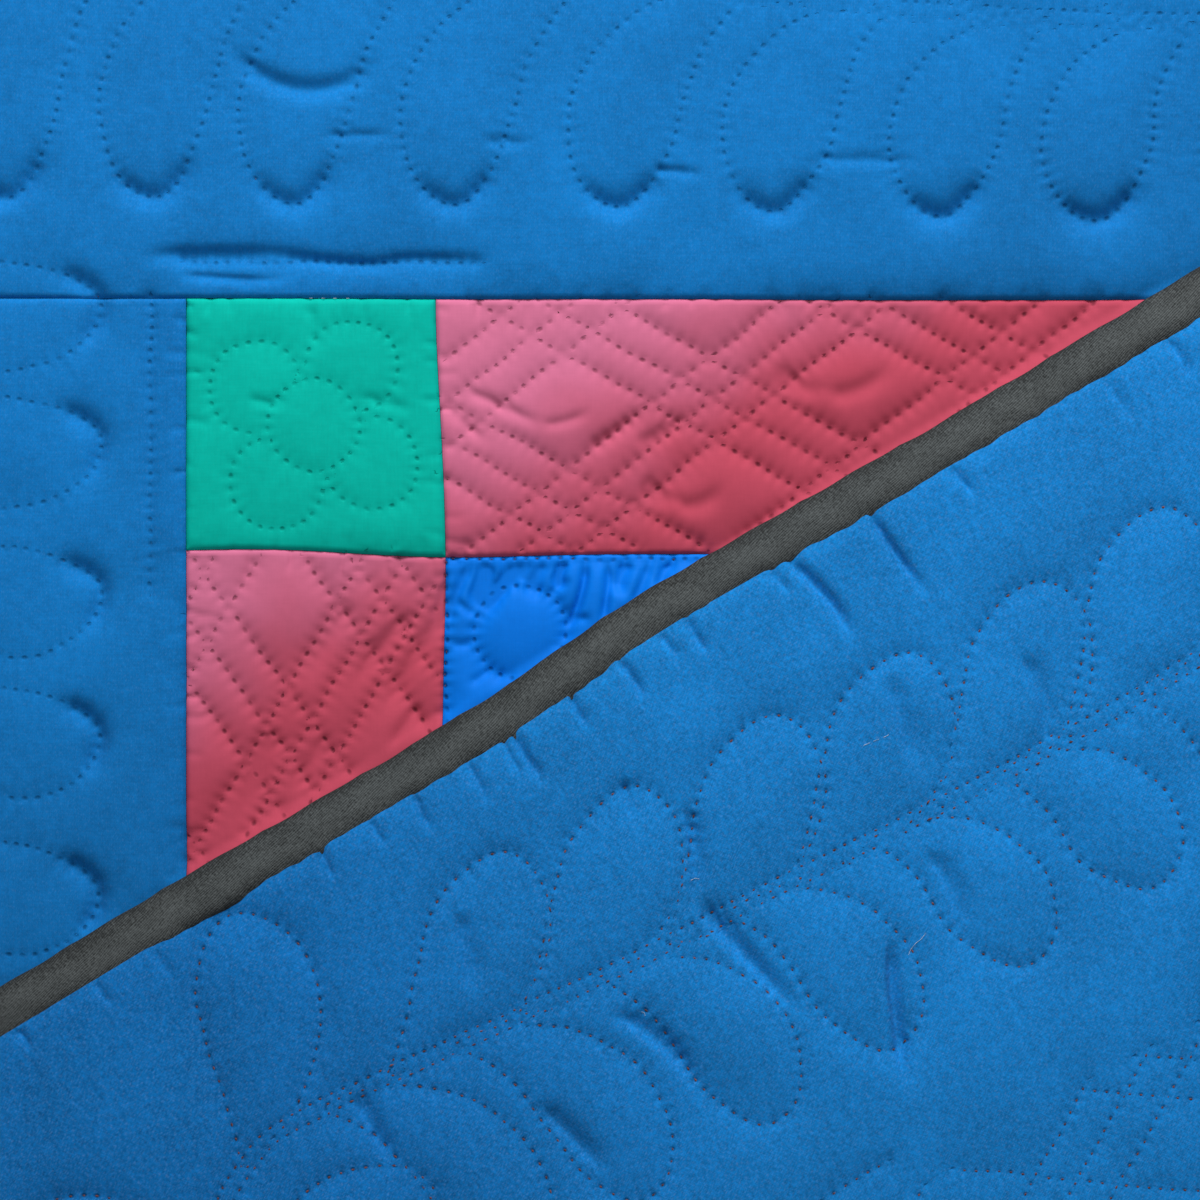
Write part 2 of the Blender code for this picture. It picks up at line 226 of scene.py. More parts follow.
def plain_lines():
    """Every marked line apart from the vine."""
    edge = BAR_OUTER + SEAM_LINE_OFFSET
    ditch = BAR_INNER - DITCH_OFFSET
    lines = []
    for side in (-1, 1):
        for other in (-1, 1):
            along = other * np.linspace(BAR_OUTER, SEAM_LINE_END, 40)
            short = np.column_stack([along, np.full(40, side * edge)])
            lines += [short, short[:, ::-1]]
        across = np.column_stack([np.linspace(-ditch, ditch, 150), np.full(150, side * ditch)])
        lines += [across, across[:, ::-1]]
        low, high = sorted((side * BAR_INNER, side * BAR_OUTER))
        middle = (low + high) / 2
        inner = BAR_INNER
        lines += crossed_lines(CROSSED_LINES["level"], (-inner, low), (inner, high), (-inner, middle))
        lines += crossed_lines(CROSSED_LINES["upright"], (low, -inner), (high, inner), (middle, inner))
        for other in (-1, 1):
            lines += rosette_lines((middle, other * abs(middle)))
            ring_at = BAR_INNER - CORNER_RING_INSET
            lines.append(ring((side * ring_at, other * ring_at), ROSETTE_RADIUS))
    lines += rosette_lines((0, 0))
    lines.append(ring((0, 0), WREATH_RADIUS - WREATH_RING_RADIUS / 2, 60))
    for i in range(WREATH_RINGS):
        turn = 2 * math.pi * i / WREATH_RINGS
        at = WREATH_RADIUS * np.array([math.cos(turn), math.sin(turn)])
        lines.append(ring(at, WREATH_RING_RADIUS))
    return lines


def evenly(points, pull):
    """A marked line as sewn by hand, at even steps: its points, directions, runs counted in stitches, and
    pull. The stitches are longer on the right side of the quilt than elsewhere."""
    run = np.concatenate([[0], np.cumsum(np.linalg.norm(np.diff(points, axis=0), axis=1))])
    at = np.linspace(0, run[-1], max(round(run[-1] / MARK_STEP), 4) + 1)
    even = np.column_stack([np.interp(at, run, points[:, 0]), np.interp(at, run, points[:, 1])])
    along = np.gradient(even, axis=0)
    along /= np.linalg.norm(along, axis=1)[:, None]
    beside = np.column_stack([-along[:, 1], along[:, 0]])
    even += HAND_WANDER * unevenness(even, WANDER_SIZE)[:, None] * beside
    pitch = LONG_STITCH_PITCH if points[:, 0].mean() > BAR_OUTER else STITCH_PITCH
    stitches = at / run[-1] * max(round(run[-1] / pitch), 1)
    stitches += STITCH_UNEVEN * np.sin(at / STITCH_UNEVEN_RUN + 60 * points[0, 0])
    return even, along, stitches, np.interp(at, run, pull)


marked = [evenly(points, pull) for points, pull in vine_lines()]
vine_count = len(marked)
marked += [evenly(points, np.zeros(len(points))) for points in plain_lines()]
mark_point, mark_along, mark_stitches, mark_pull = (np.concatenate(part) for part in zip(*marked))
mark_line = np.repeat(np.arange(len(marked)), [len(line[0]) for line in marked])
mark_tree = kdtree.KDTree(len(mark_point))
for index, (x, y) in enumerate(mark_point):
    mark_tree.insert((x, y, 0), index)
mark_tree.balance()


def nearest_mark(points):
    """At each point: distance from the nearest marked line, signed by its side, the run along that
    line counted in stitches, how hard the line pulls there, and the line's number."""
    found = np.array([mark_tree.find((x, y, 0))[1] for x, y in points])
    away = points - mark_point[found]
    along = mark_along[found]
    ahead = (away * along).sum(axis=1)
    beside = along[:, 0] * away[:, 1] - along[:, 1] * away[:, 0]
    distance = np.hypot(beside, np.maximum(np.abs(ahead) - MARK_STEP / 2, 0))
    signed = np.where(beside < 0, -distance, distance)
    return signed, mark_stitches[found] + ahead / STITCH_PITCH, mark_pull[found], mark_line[found]


# The backing, one square of blue plain-woven cotton that covers the whole back. The right side of the
# quilt is folded over at a slant, so the backing shows on the flap, soft and a little fuzzy, with
# puckers where the binding and the quilting pull it.
BINDING_WIDTH = 0.0127
HALF_THICK = 0.0025
HIDDEN_HALF_THICK = 0.0018
TURNED_EDGE_ANGLE = math.radians(31.0)
FOLD_ANGLE = (math.radians(90.0) + TURNED_EDGE_ANGLE) / 2
FOLD_ABOVE_CORNER = 0.0606
FOLD_POINT = np.array([HALF_SIDE, HALF_SIDE + FOLD_ABOVE_CORNER])
FOLD_ALONG = np.array([math.cos(FOLD_ANGLE), math.sin(FOLD_ANGLE)])
FOLD_ACROSS = np.array([math.sin(FOLD_ANGLE), -math.cos(FOLD_ANGLE)])
FOLD_RADIUS = 0.0055
ARC_HALF = math.pi * FOLD_RADIUS / 2
LAYER_STEP = 0.0055
SETTLE_LENGTH = 0.05
EDGE_DRAW_IN = 0.0013
# How the folded-over edge runs in and out: place along the edge, and shift outwards
EDGE_SWAYS = [
    (-0.262, 0.0), (-0.222, -0.0009), (-0.198, -0.0012), (-0.168, -0.0007), (-0.152, 0.0006),
    (-0.142, 0.0014), (-0.124, 0.0018), (-0.084, 0.0010), (-0.042, 0.0),
]
LAID_CENTRE = np.array([-0.0178, 0.0147])

VIEW_CENTRE = np.array([-0.10143, 0.13246])
VIEW_SIDE = 0.2964
COARSE_CELL = 0.0064
SEEN_CELL = 0.0032
NEAR_LINE = 0.0035
SHALLOW_CREASE = 0.00004
SHARP_CREASE = 0.0004
EDGE_ROW = 0.0004
VIEW_MARGIN = 0.001

RELIEF_CELL = 0.001
RELIEF_ROUNDS = 170
LINE_HALF_WIDTH = 0.0006
BACK_GROOVE = 0.0009
BACK_PUFF_WIDTH = 0.007
BACK_DIP = 0.0002
DIP_REACH = 0.0012
RISE_REACH = 0.0030
TUCK = 0.002
PUCKER_ROOT = 0.0015
BACK_RIPPLES = [(0.00012, 0.012), (0.00016, 0.03)]
BACK_HEM_DROP = 0.0009
HEM_REACH = 0.0026
UNDERSIDE_LIFT = 0.00025
FLAP_BLEND_START = 0.001
FLAP_BLEND = 0.008
BACK_BLUE = (0.003, 0.136, 0.410)
# Painted light: the backing turns to this lit blue towards its +Y end, along the slope that follows.
LIT_BACK_BLUE = (0.005, 0.184, 0.520)
BACK_PAINTED_LIGHT = (0.0, -1.0, 0.13, 0.28)
# Puckers and soft valleys of the flap: distance from the bound edge and place along it of the
# two ends, bow to the side, half width and depth
FLAP_CREASES = [
    (0.0105, -0.0704, 0.0381, -0.0690, 0.0008, 0.0012, 0.0016),
    (0.0105, -0.0937, 0.0395, -0.0905, -0.0012, 0.0015, 0.0017),
    (0.0110, -0.0985, 0.0205, -0.0978, 0.0004, 0.0012, 0.0007),
    (0.0110, -0.1223, 0.0235, -0.1231, 0.0006, 0.0011, 0.0010),
    (0.0110, -0.1300, 0.0200, -0.1297, 0.0003, 0.0010, 0.0008),
    (0.0110, -0.1422, 0.0245, -0.1431, -0.0005, 0.0012, 0.0011),
    (0.0110, -0.1568, 0.0221, -0.1581, 0.0005, 0.0011, 0.0010),
    (0.0110, -0.1736, 0.0275, -0.1738, 0.0010, 0.0013, 0.0013),
    (0.0110, -0.1768, 0.0235, -0.1775, 0.0006, 0.0010, 0.0007),
    (0.0110, -0.1873, 0.0235, -0.1893, -0.0004, 0.0011, 0.0009),
    (0.0110, -0.2024, 0.0226, -0.2045, 0.0005, 0.0011, 0.0009),
    (0.0110, -0.2150, 0.0200, -0.2158, 0.0003, 0.0010, 0.0007),
    (0.0110, -0.2290, 0.0205, -0.2310, 0.0004, 0.0010, 0.0008),
    (0.0110, -0.0471, 0.0213, -0.0467, 0.0003, 0.0010, 0.0009),
    (0.0700, -0.1560, 0.1130, -0.1470, 0.0020, 0.0024, 0.0020),
    (0.0830, -0.1880, 0.1130, -0.1800, -0.0015, 0.0024, 0.0018),
    (0.1040, -0.1200, 0.1400, -0.1375, 0.0015, 0.0017, 0.0023),
    (0.0505, -0.1465, 0.0740, -0.1605, -0.0010, 0.0022, 0.0015),
    (0.0680, -0.2530, 0.0900, -0.2550, 0.0008, 0.0024, 0.0015),
    (0.0360, -0.1564, 0.0475, -0.1613, 0.0006, 0.0020, 0.0008),
    (0.0480, -0.0870, 0.0760, -0.0930, 0.0015, 0.0028, 0.0013),
    (0.0600, -0.0560, 0.0850, -0.0640, -0.0012, 0.0026, 0.0013),
    (0.0420, -0.2080, 0.0640, -0.2160, 0.0012, 0.0026, 0.0013),
    (0.0930, -0.2150, 0.1190, -0.2090, 0.0014, 0.0024, 0.0015),
    (0.0900, -0.1010, 0.1150, -0.1060, -0.0012, 0.0026, 0.0012),
]


def across_fold(points):
    """Signed distance from the fold line, positive on the side that is turned over."""
    return (points - FOLD_POINT) @ FOLD_ACROSS


def mirrored(points):
    """The points reflected in the fold line."""
    return points - 2 * across_fold(points)[:, None] * FOLD_ACROSS


def drawn_in(points):
    """Points seen from above after the quilting has pulled each edge in a little between its corners."""
    share = (points + HALF_SIDE) / SIDE
    ripple = 0.6 + 0.4 * np.sin(5 * math.pi * share + 0.8)
    pull = EDGE_DRAW_IN * (np.sin(math.pi * share) ** 2 * ripple)[:, ::-1]
    centred = points / HALF_SIDE
    return points - pull * centred * np.abs(centred)


def swayed(points):
    """Points of the right side moved as its edge runs in and out."""
    moved = points.copy()
    shift = np.interp(points[:, 1], *zip(*EDGE_SWAYS))
    moved[:, 0] += shift * smooth_step((points[:, 0] - BAR_OUTER) / (HALF_SIDE - BINDING_WIDTH - BAR_OUTER))
    return moved


def folded(points, offset):
    """Flat points, each at an offset towards the front from the middle sheet, laid on the folded quilt."""
    points = swayed(points)
    s = across_fold(points)
    along = (points - FOLD_POINT) @ FOLD_ALONG
    turn = np.clip((s + ARC_HALF) / FOLD_RADIUS, 0, math.pi)
    past = np.maximum(s - ARC_HALF, 0)
    settled = (2 * FOLD_RADIUS - LAYER_STEP) * smooth_step(past / SETTLE_LENGTH)
    reach = np.minimum(s, -ARC_HALF) + (FOLD_RADIUS - offset) * np.sin(turn) - past
    height = HALF_THICK + FOLD_RADIUS - (FOLD_RADIUS - offset) * np.cos(turn) - settled
    flat = FOLD_POINT + along[:, None] * FOLD_ALONG + reach[:, None] * FOLD_ACROSS
    return np.column_stack([drawn_in(flat) - LAID_CENTRE, height])


def creased(points, creases, soft_side):
    """How deep the creases press each point in. A crease is start x, y, end x, y, bow to its left, half
    width and depth. It is steeper away from its soft side, which is 1 for left, -1 for right, 0 for none."""
    depth = np.zeros(len(points))
    for x0, y0, x1, y1, bow, width, full in creases:
        start, run = np.array([x0, y0]), np.array([x1 - x0, y1 - y0])
        length = np.linalg.norm(run)
        reach = length / 2 + abs(bow) + 3 * width
        near = np.flatnonzero(np.abs(points - start - run / 2).max(axis=1) < reach)
        share = (points[near] - start) @ run / length**2
        inside = np.clip(share, 0, 1)
        bend = 4 * bow * inside * (1 - inside) + 0.25 * width * np.sin(5 * share + 900 * width)
        tilt = np.hypot(1, 4 * bow * (1 - 2 * inside) / length)
        beside = ((points[near] - start) @ np.array([-run[1], run[0]]) / length - bend) / tilt
        ends = smooth_step((share + 0.05) / 0.25) * smooth_step((1 - share) / 0.45)
        span = width * (1 + 0.35 * soft_side * np.sign(beside))
        depth[near] += full * ends * np.exp(-((beside / span) ** 2))
    return depth


def pucker_row(start, end, inward, spacing, length, width, depth, seed):
    """Small creases at uneven steps along a seam, each running inward from it."""
    rng = np.random.default_rng(seed)
    start, end, inward = (np.array(v, float) for v in (start, end, inward))
    total = np.linalg.norm(end - start)
    along = (end - start) / total
    row, at = [], spacing * rng.uniform(0.3, 1)
    while at < total:
        root = start + at * along - PUCKER_ROOT * inward
        tip = root + inward * length * rng.uniform(0.5, 1.4) + along * length * rng.normal(0, 0.12)
        bow = length * rng.normal(0, 0.06)
        row.append((*root, *tip, bow, width * rng.uniform(0.7, 1.3), depth * rng.uniform(0.4, 1.3)))
        at += spacing * rng.uniform(0.5, 1.6)
    return row


def seen_from_above(points, side):
    """How far each point lies inside what shows from above, negative where it is covered."""
    s = across_fold(points)
    if side < 0:
        return s + ARC_HALF
    beyond = np.abs(mirrored(points)).max(axis=1) - HALF_SIDE
    return np.minimum(beyond, -ARC_HALF - s)


def wanted_cell(points, side, margin, in_view, creases):
    """The cell that each place needs: the smallest where the view looks on, larger where less shows."""
    seen = seen_from_above(points, side) > -margin
    near = np.abs(nearest_mark(points)[0]) < NEAR_LINE + margin / 2
    pressed = creased(points, creases, side)
    near |= pressed > SHALLOW_CREASE
    placed = folded(points, np.zeros(len(points)))[:, :2]
    viewed = np.abs(placed - VIEW_CENTRE).max(axis=1) < VIEW_SIDE / 2 + margin
    bent = np.abs(across_fold(points)) < ARC_HALF + margin
    cell = np.where(near, SEEN_CELL / 2, SEEN_CELL)
    cell = np.where(viewed, np.where(near, SEEN_CELL / 4, in_view), cell)
    cell = np.where(viewed & (pressed > SHARP_CREASE), SEEN_CELL / 8, cell)
    cell = np.where(bent, np.minimum(cell, SEEN_CELL / 2), cell)
    return np.where(seen | bent, cell, COARSE_CELL)


def flat_cloth(low, high, side, in_view, creases):
    """A flat rectangle of cloth whose cells are finer where it is seen more closely."""
    mesh = bmesh.new()
    low, high = np.array(low), np.array(high)
    counts = np.ceil((high - low) / COARSE_CELL).astype(int)
    bmesh.ops.create_grid(mesh, x_segments=counts[0], y_segments=counts[1], size=0.5)
    bmesh.ops.scale(mesh, vec=(*(high - low), 1), verts=mesh.verts[:])
    bmesh.ops.translate(mesh, vec=(*(high + low) / 2, 0), verts=mesh.verts[:])
    cell = COARSE_CELL
    while cell > SEEN_CELL / 8 * 1.1:
        faces = mesh.faces[:]
        middles = np.array([f.calc_center_median()[:2] for f in faces])
        split = wanted_cell(middles, side, cell, in_view, creases) < cell * 0.9
        edges = {e for f, wanted in zip(faces, split) if wanted for e in f.edges}
        bmesh.ops.subdivide_edges(mesh, edges=list(edges), cuts=1, use_grid_fill=True, use_single_edge=True)
        cell /= 2
    for axis, outward, edge in ((0, -1, low[0]), (0, 1, high[0]), (1, -1, low[1]), (1, 1, high[1])):
        normal = Vector((0, 0, 0))
        normal[axis] = outward
        bmesh.ops.bisect_plane(
            mesh,
            geom=mesh.verts[:] + mesh.edges[:] + mesh.faces[:],
            dist=1e-6,
            plane_co=normal * (abs(edge) if edge * outward > 0 else -abs(edge)) - normal * EDGE_ROW,
            plane_no=normal,
        )
    bmesh.ops.triangulate(mesh, faces=[f for f in mesh.faces if len(f.verts) > 4])
    if side < 0:
        bmesh.ops.reverse_faces(mesh, faces=mesh.faces[:])
    return mesh


def placed_object(name, data):
    made = bpy.data.objects.new(name, data)
    bpy.context.scene.collection.objects.link(made)
    return made


def lay_cloth(name, mesh, places, offset, fine):
    """Lays a flat cloth on the folded quilt and keeps what its material needs: the cut cloth's own
    coordinates as a UV map, and where each point is beside its nearest line of stitches. Where one
    nearest line gives way to another, the stitches' beat is left out."""
    data = bpy.data.meshes.new(name)
    mesh.to_mesh(data)
    mesh.free()
    flat = np.array([v.co[:2] for v in data.vertices])
    corner = np.zeros(len(data.loops), int)
    data.loops.foreach_get("vertex_index", corner)
    data.uv_layers.new(name="cut").data.foreach_set("uv", flat[corner].ravel())
    data.vertices.foreach_set("co", folded(places, offset).ravel())
    signed, stitches, _, line = nearest_mark(places)
    ends = np.array([e.vertices[:] for e in data.edges])
    between = ends[line[ends[:, 0]] != line[ends[:, 1]]]
    fine[between.ravel()] = 0
    phase = 2 * math.pi * (stitches - 0.5)
    beat = np.column_stack([signed, fine * np.cos(phase), fine * np.sin(phase)])
    data.attributes.new("beside_stitches", "FLOAT_VECTOR", "POINT").data.foreach_set("vector", beat.ravel())
    data.attributes.new("from_stitches", "FLOAT", "POINT").data.foreach_set("value", np.abs(signed))
    data.shade_smooth()
    data.update()
    return placed_object(name, data)


def puffed(width, drawn):
    """How high the batting lifts the cloth, on an even grid: 1 far from all stitches, and 1 less the
    share drawn in on each marked line. In between it curves as cloth under an even push does."""
    count = round(SIDE / RELIEF_CELL) + 1
    near = np.zeros((count, count), bool)
    for i in (-1, 0, 1):
        for j in (-1, 0, 1):
            cells = np.rint((mark_point + HALF_SIDE) / RELIEF_CELL).astype(int) + (i, j)
            near[tuple(cells.clip(0, count - 1).T)] = True
    at = np.argwhere(near)
    signed, _, pull, line = nearest_mark(at * RELIEF_CELL - HALF_SIDE)
    held = np.abs(signed) < 1.05 * RELIEF_CELL
    at = at[held]
    eased = np.sqrt(signed[held] ** 2 + LINE_HALF_WIDTH**2) - LINE_HALF_WIDTH
    low = 1 - drawn(at * RELIEF_CELL - HALF_SIDE, pull[held], line[held]) * np.exp(-eased / width)
    at = tuple(at.T)
    height = np.ones((count, count), np.float32)
    stiff = (RELIEF_CELL / width) ** 2
    for _ in range(RELIEF_ROUNDS):
        height[at] = low
        around = height[:-2, 1:-1] + height[2:, 1:-1] + height[1:-1, :-2] + height[1:-1, 2:]
        height[1:-1, 1:-1] = (around + stiff) / (4 + stiff)
    height[at] = low
    return height


def read_off(height, points):
    """Values between the points of an even grid over the quilt."""
    place = (points + HALF_SIDE).clip(0, SIDE * 0.99999) / RELIEF_CELL
    i, j = np.floor(place).astype(int).T
    u, v = (place - np.floor(place)).T
    first = height[i, j] * (1 - u) + height[i + 1, j] * u
    return first * (1 - v) + (height[i, j + 1] * (1 - u) + height[i + 1, j + 1] * u) * v


def in_fine_view(points):
    placed = folded(points, np.zeros(len(points)))[:, :2]
    return (np.abs(placed - VIEW_CENTRE).max(axis=1) < VIEW_SIDE / 2 + VIEW_MARGIN).astype(float)


def dimpled(signed, stitches, depth):
    """The dip at each stitch, and the small rise of the cloth between two stitches."""
    beat = np.cos(2 * math.pi * (stitches - 0.5))
    close = np.exp(-((signed / DIP_REACH) ** 2)) * (0.35 + 0.65 * beat)
    return depth * (close + 0.3 * np.exp(-((signed / RISE_REACH) ** 2)) * beat)


def back_offset(points):
    """How far the backing lies from the middle sheet, on the side away from the front."""
    signed, stitches, _, _ = nearest_mark(points)
    raised = read_off(back_relief, points)
    edge = HALF_SIDE - BINDING_WIDTH - np.abs(points).max(axis=1)
    offset = BACK_GROOVE + (HALF_THICK - BACK_GROOVE) * raised
    offset -= dimpled(signed, stitches, BACK_DIP)
    offset -= creased(points, back_creases, -1)
    offset += sum(height * unevenness(points, size) for height, size in BACK_RIPPLES)
    offset -= BACK_HEM_DROP * np.exp(-((edge + TUCK).clip(0) / HEM_REACH))
    shown = smooth_step((across_fold(points) + ARC_HALF - FLAP_BLEND_START) / FLAP_BLEND)
    rest = HALF_THICK - UNDERSIDE_LIFT
    return rest + (np.minimum(offset, HALF_THICK) - rest) * shown


class Shade:
    """A number that varies over a cloth. Python's operators on it add Math nodes to its material."""

    def __init__(self, finish, socket):
        self.finish = finish
        self.socket = socket

    def math(self, operation, *terms):
        node = self.finish.node("ShaderNodeMath", {"operation": operation}, dict(enumerate(terms)))
        return Shade(self.finish, node.outputs[0])

    def __add__(self, other):
        return self.math("ADD", self, other)

    def __sub__(self, other):
        return self.math("SUBTRACT", self, other)

    def __rsub__(self, other):
        return self.math("SUBTRACT", other, self)

    def __mul__(self, other):
        return self.math("MULTIPLY", self, other)

    def __truediv__(self, other):
        return self.math("DIVIDE", self, other)

    def __pow__(self, other):
        return self.math("POWER", self, other)

    __radd__ = __add__
    __rmul__ = __mul__

    def between(self, low, high):
        """0 up to low, 1 from high on, and smooth in between."""
        settings = {"interpolation_type": "SMOOTHSTEP"}
        inputs = {"Value": self, "From Min": low, "From Max": high}
        node = self.finish.node("ShaderNodeMapRange", settings, inputs)
        return Shade(self.finish, node.outputs[0])


class Finish:
    """A material while it is made, on the cut cloth's own coordinates in metres."""

    def __init__(self, name):
        self.material = bpy.data.materials.new(name)
        self.material.use_nodes = True
        self.tree = self.material.node_tree
        self.shader = self.tree.nodes["Principled BSDF"]
        self.place = self.node("ShaderNodeUVMap", {"uv_map": "cut"}).outputs[0]

    def node(self, kind, settings=None, inputs=None):
        made = self.tree.nodes.new(kind)
        for key, value in (settings or {}).items():
            setattr(made, key, value)
        for key, value in (inputs or {}).items():
            self.feed(made.inputs[key], value)
        return made

    def feed(self, socket, value):
        value = value.socket if isinstance(value, Shade) else value
        if isinstance(value, bpy.types.NodeSocket):
            self.tree.links.new(value, socket)
        else:
            socket.default_value = value

    def turned(self, angle):
        """The cloth's coordinates turned by an angle."""
        inputs = {"Vector": self.place, "Angle": angle}
        return self.node("ShaderNodeVectorRotate", {"rotation_type": "Z_AXIS"}, inputs).outputs[0]

    def parts(self, vector):
        """The x, y and z of a vector."""
        return [Shade(self, part) for part in self.node("ShaderNodeSeparateXYZ", None, {0: vector}).outputs]

    def noise(self, size, detail=1.0, turn=0.0):
        """Random dark and light from 0 to 1, in patches of size[0] by size[1] metres, turned by an angle."""
        stretched = self.node("ShaderNodeVectorMath", {"operation": "MULTIPLY"}, {0: self.turned(turn)})
        stretched.inputs[1].default_value = (1 / size[0], 1 / size[1], 1 / size[0])
        inputs = {"Vector": stretched.outputs[0], "Scale": 1.0, "Detail": detail}
        return Shade(self, self.node("ShaderNodeTexNoise", {"noise_dimensions": "3D"}, inputs).outputs[0])

    def mixed(self, first, second, share):
        """One colour turning into another as share goes from 0 to 1."""
        made = self.node("ShaderNodeMix", {"data_type": "RGBA"}, {0: share, 6: first, 7: second})
        return made.outputs[2]

    def surface(self, colour, height, roughness, sheen, specular):
        """Puts colour, height in metres and the fixed values of the finish on the shader."""
        self.feed(self.shader.inputs["Base Color"], colour)
        bump = self.node("ShaderNodeBump", None, {"Strength": 1.0, "Distance": 1.0, "Height": height})
        self.feed(self.shader.inputs["Normal"], bump.outputs[0])
        self.feed(self.shader.inputs["Roughness"], roughness)
        self.feed(self.shader.inputs["Sheen Weight"], sheen)
        self.feed(self.shader.inputs["Specular IOR Level"], specular)
        return self.material


def toned(colour, factor, grey=0.0):
    """A colour made lighter or darker, and greyer towards its own mean."""
    mean = sum(colour) / 3
    return (*((c + (mean - c) * grey) * factor for c in colour), 1.0)


def stitch_holes(finish, length, width):
    """1 in the hole that each stitch presses into the cloth, and 0 away from it."""
    beside = finish.node("ShaderNodeAttribute", {"attribute_name": "beside_stitches"}).outputs["Vector"]
    signed, beat_cos, beat_sin = finish.parts(beside)
    from_stitches = finish.node("ShaderNodeAttribute", {"attribute_name": "from_stitches"})
    distance = Shade(finish, from_stitches.outputs["Fac"])
    run = beat_sin.math("ARCTAN2", beat_sin, beat_cos) * (STITCH_PITCH / (2 * math.pi))
    certain = (beat_cos**2 + beat_sin**2).between(0.12, 0.3)
    reach = ((run / length) ** 2 + (signed / width) ** 2) ** 0.5
    worn = finish.noise((0.004, 0.004)).between(0.38, 0.62) * 0.55 + 0.45
    return (1 - reach.between(0.1, 1.0)) * (1 - distance.between(0.0012, 0.0022)) * worn * certain


def plain_cotton(name, colour, lit_colour, light_slope, weave, fuzz, mottle, hole_shade, roughness, sheen, specular):
    """Plain-woven cotton: threads both ways, loose fibres on them, uneven dye, and stitch holes, darkened
    with painted shade. Towards one side of the quilt it turns to the lit colour, which is painted light,
    and on the rose a painted whitish sheen. The light slope gives its slope in x and y, the place on that
    slope up to which the cloth is lit, and the place from which it is unlit."""
    finish = Finish(name)
    threads = finish.noise((0.00045, 0.006)) + finish.noise((0.006, 0.00045)) - 1.0
    fibres = finish.noise((0.0003, 0.0022), 1.0, 0.6) + finish.noise((0.0003, 0.0022), 1.0, -0.9) - 1.0
    speckle = finish.noise((0.0009, 0.0009), 3.0) - 0.5
    patches = finish.noise((0.03, 0.03), 2.0) - 0.5
    clouds = finish.noise((0.003, 0.003), 2.0) - 0.5
    tone = threads * weave + fibres * fuzz + speckle * fuzz * 1.2 + (patches + clouds) * mottle + 0.5
    body = finish.mixed(toned(colour, 0.55), toned(colour, 1.5), tone.between(-0.15, 1.15))
    # Painted light: the same weave in the lit colour, mixed in towards one side; on the rose a painted
    # sheen.
    lit_body = finish.mixed(toned(lit_colour, 0.55), toned(lit_colour, 1.5), tone.between(-0.15, 1.15))
    x, y, _ = finish.parts(finish.place)
    in_x, in_y, lit_end, unlit_start = light_slope
    past_light = (x * in_x + y * in_y + patches * 0.03).between(lit_end, unlit_start)
    body = finish.mixed(lit_body, body, past_light)
    flecks = finish.noise((0.0002, 0.0010), 1.0, 0.3).between(0.5, 0.8) * fuzz
    body = finish.mixed(body, toned(colour, 1.7, 0.3), flecks)
    holes = stitch_holes(finish, 0.0010, 0.0008)
    # Painted shade: the cloth is darkened in each stitch hole, more so past the painted light.
    body = finish.mixed(body, toned(colour, hole_shade), holes * (past_light * 0.35 + 0.5))
    height = threads * 0.00005 * weave + fibres * 0.00006 * fuzz + speckle * 0.00008 * fuzz - holes * 0.0002
    return finish.surface(body, height, roughness, sheen, specular)


bound = HALF_SIDE - BINDING_WIDTH
back_relief = puffed(BACK_PUFF_WIDTH, lambda points, pull, line: 1 - 0.3 * (line >= vine_count))
back_creases = [(HALF_SIDE - x0, y0, HALF_SIDE - x1, y1, *size) for x0, y0, x1, y1, *size in FLAP_CREASES]
for number, (start, end, inward) in enumerate(
    [
        ((bound, -bound), (bound, -0.262), (-1, 0)),
        ((bound, -0.02), (bound, bound), (-1, 0)),
        ((-bound, bound), (bound, bound), (0, -1)),
        ((-bound, -bound), (bound, -bound), (0, 1)),
    ]
):
    back_creases += pucker_row(
        start, end, inward, spacing=0.017, length=0.013, width=0.0012, depth=0.0008, seed=40 + number
    )

reach = bound + TUCK
mesh = flat_cloth((-reach, -reach), (reach, reach), -1, SEEN_CELL / 2, back_creases)
places = np.array([v.co[:2] for v in mesh.verts])
backing = lay_cloth("backing", mesh, places, -back_offset(places), in_fine_view(places))
back_cotton = plain_cotton(
    "backing_cotton", BACK_BLUE, LIT_BACK_BLUE, BACK_PAINTED_LIGHT,
    weave=0.25, fuzz=0.6, mottle=0.45, hole_shade=0.35,
    roughness=0.9, sheen=0.02, specular=0.1,
)
backing.data.materials.append(back_cotton)
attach(backing, "root")
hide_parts("quilt")


# The patchwork top, thirteen patches of plain cottons sewn edge to edge with small seams: corner squares
# of green, bars of rose round a middle of bright blue sateen, and a wide blue border. The seams
# aren't quite straight, and the quilting makes each field between its lines stand up softly.
FRONT_GROOVE = 0.0004
FRONT_LOWEST = -0.0011
LOWEST_EASE = 0.0002
FRONT_PUFF_WIDTH = 0.0068
PUFF_GAIN = 0.7
DEEPER_GROOVES = 0.0010
SHALLOWER_GROOVES = 0.0003
HEAD_DROP = 0.0010
HEAD_REACH = 0.0028
FRONT_DIP = 0.00028
SEAM_SINK = 0.45
SEAM_REACH = 0.0028
FRONT_HEM_DROP = 0.0008
FRONT_RIPPLES = [(0.00010, 0.009), (0.00016, 0.026)]
ROLL_WIDTH = 0.0009
SHOWN_BLEND = 0.004
PATCH_GAP = 0.00006
EDGE_ROLL = 0.0006
SEAM_PULL_REACH = 0.028
BELOW_SEAM = 0.0035
CREASE_MARGIN = 0.001
RING_CREASES = 10
RING_CREASE_ENDS = (0.0120, 0.0190)
RING_CREASE_SIZE = (0.0004, 0.0013, 0.0008)
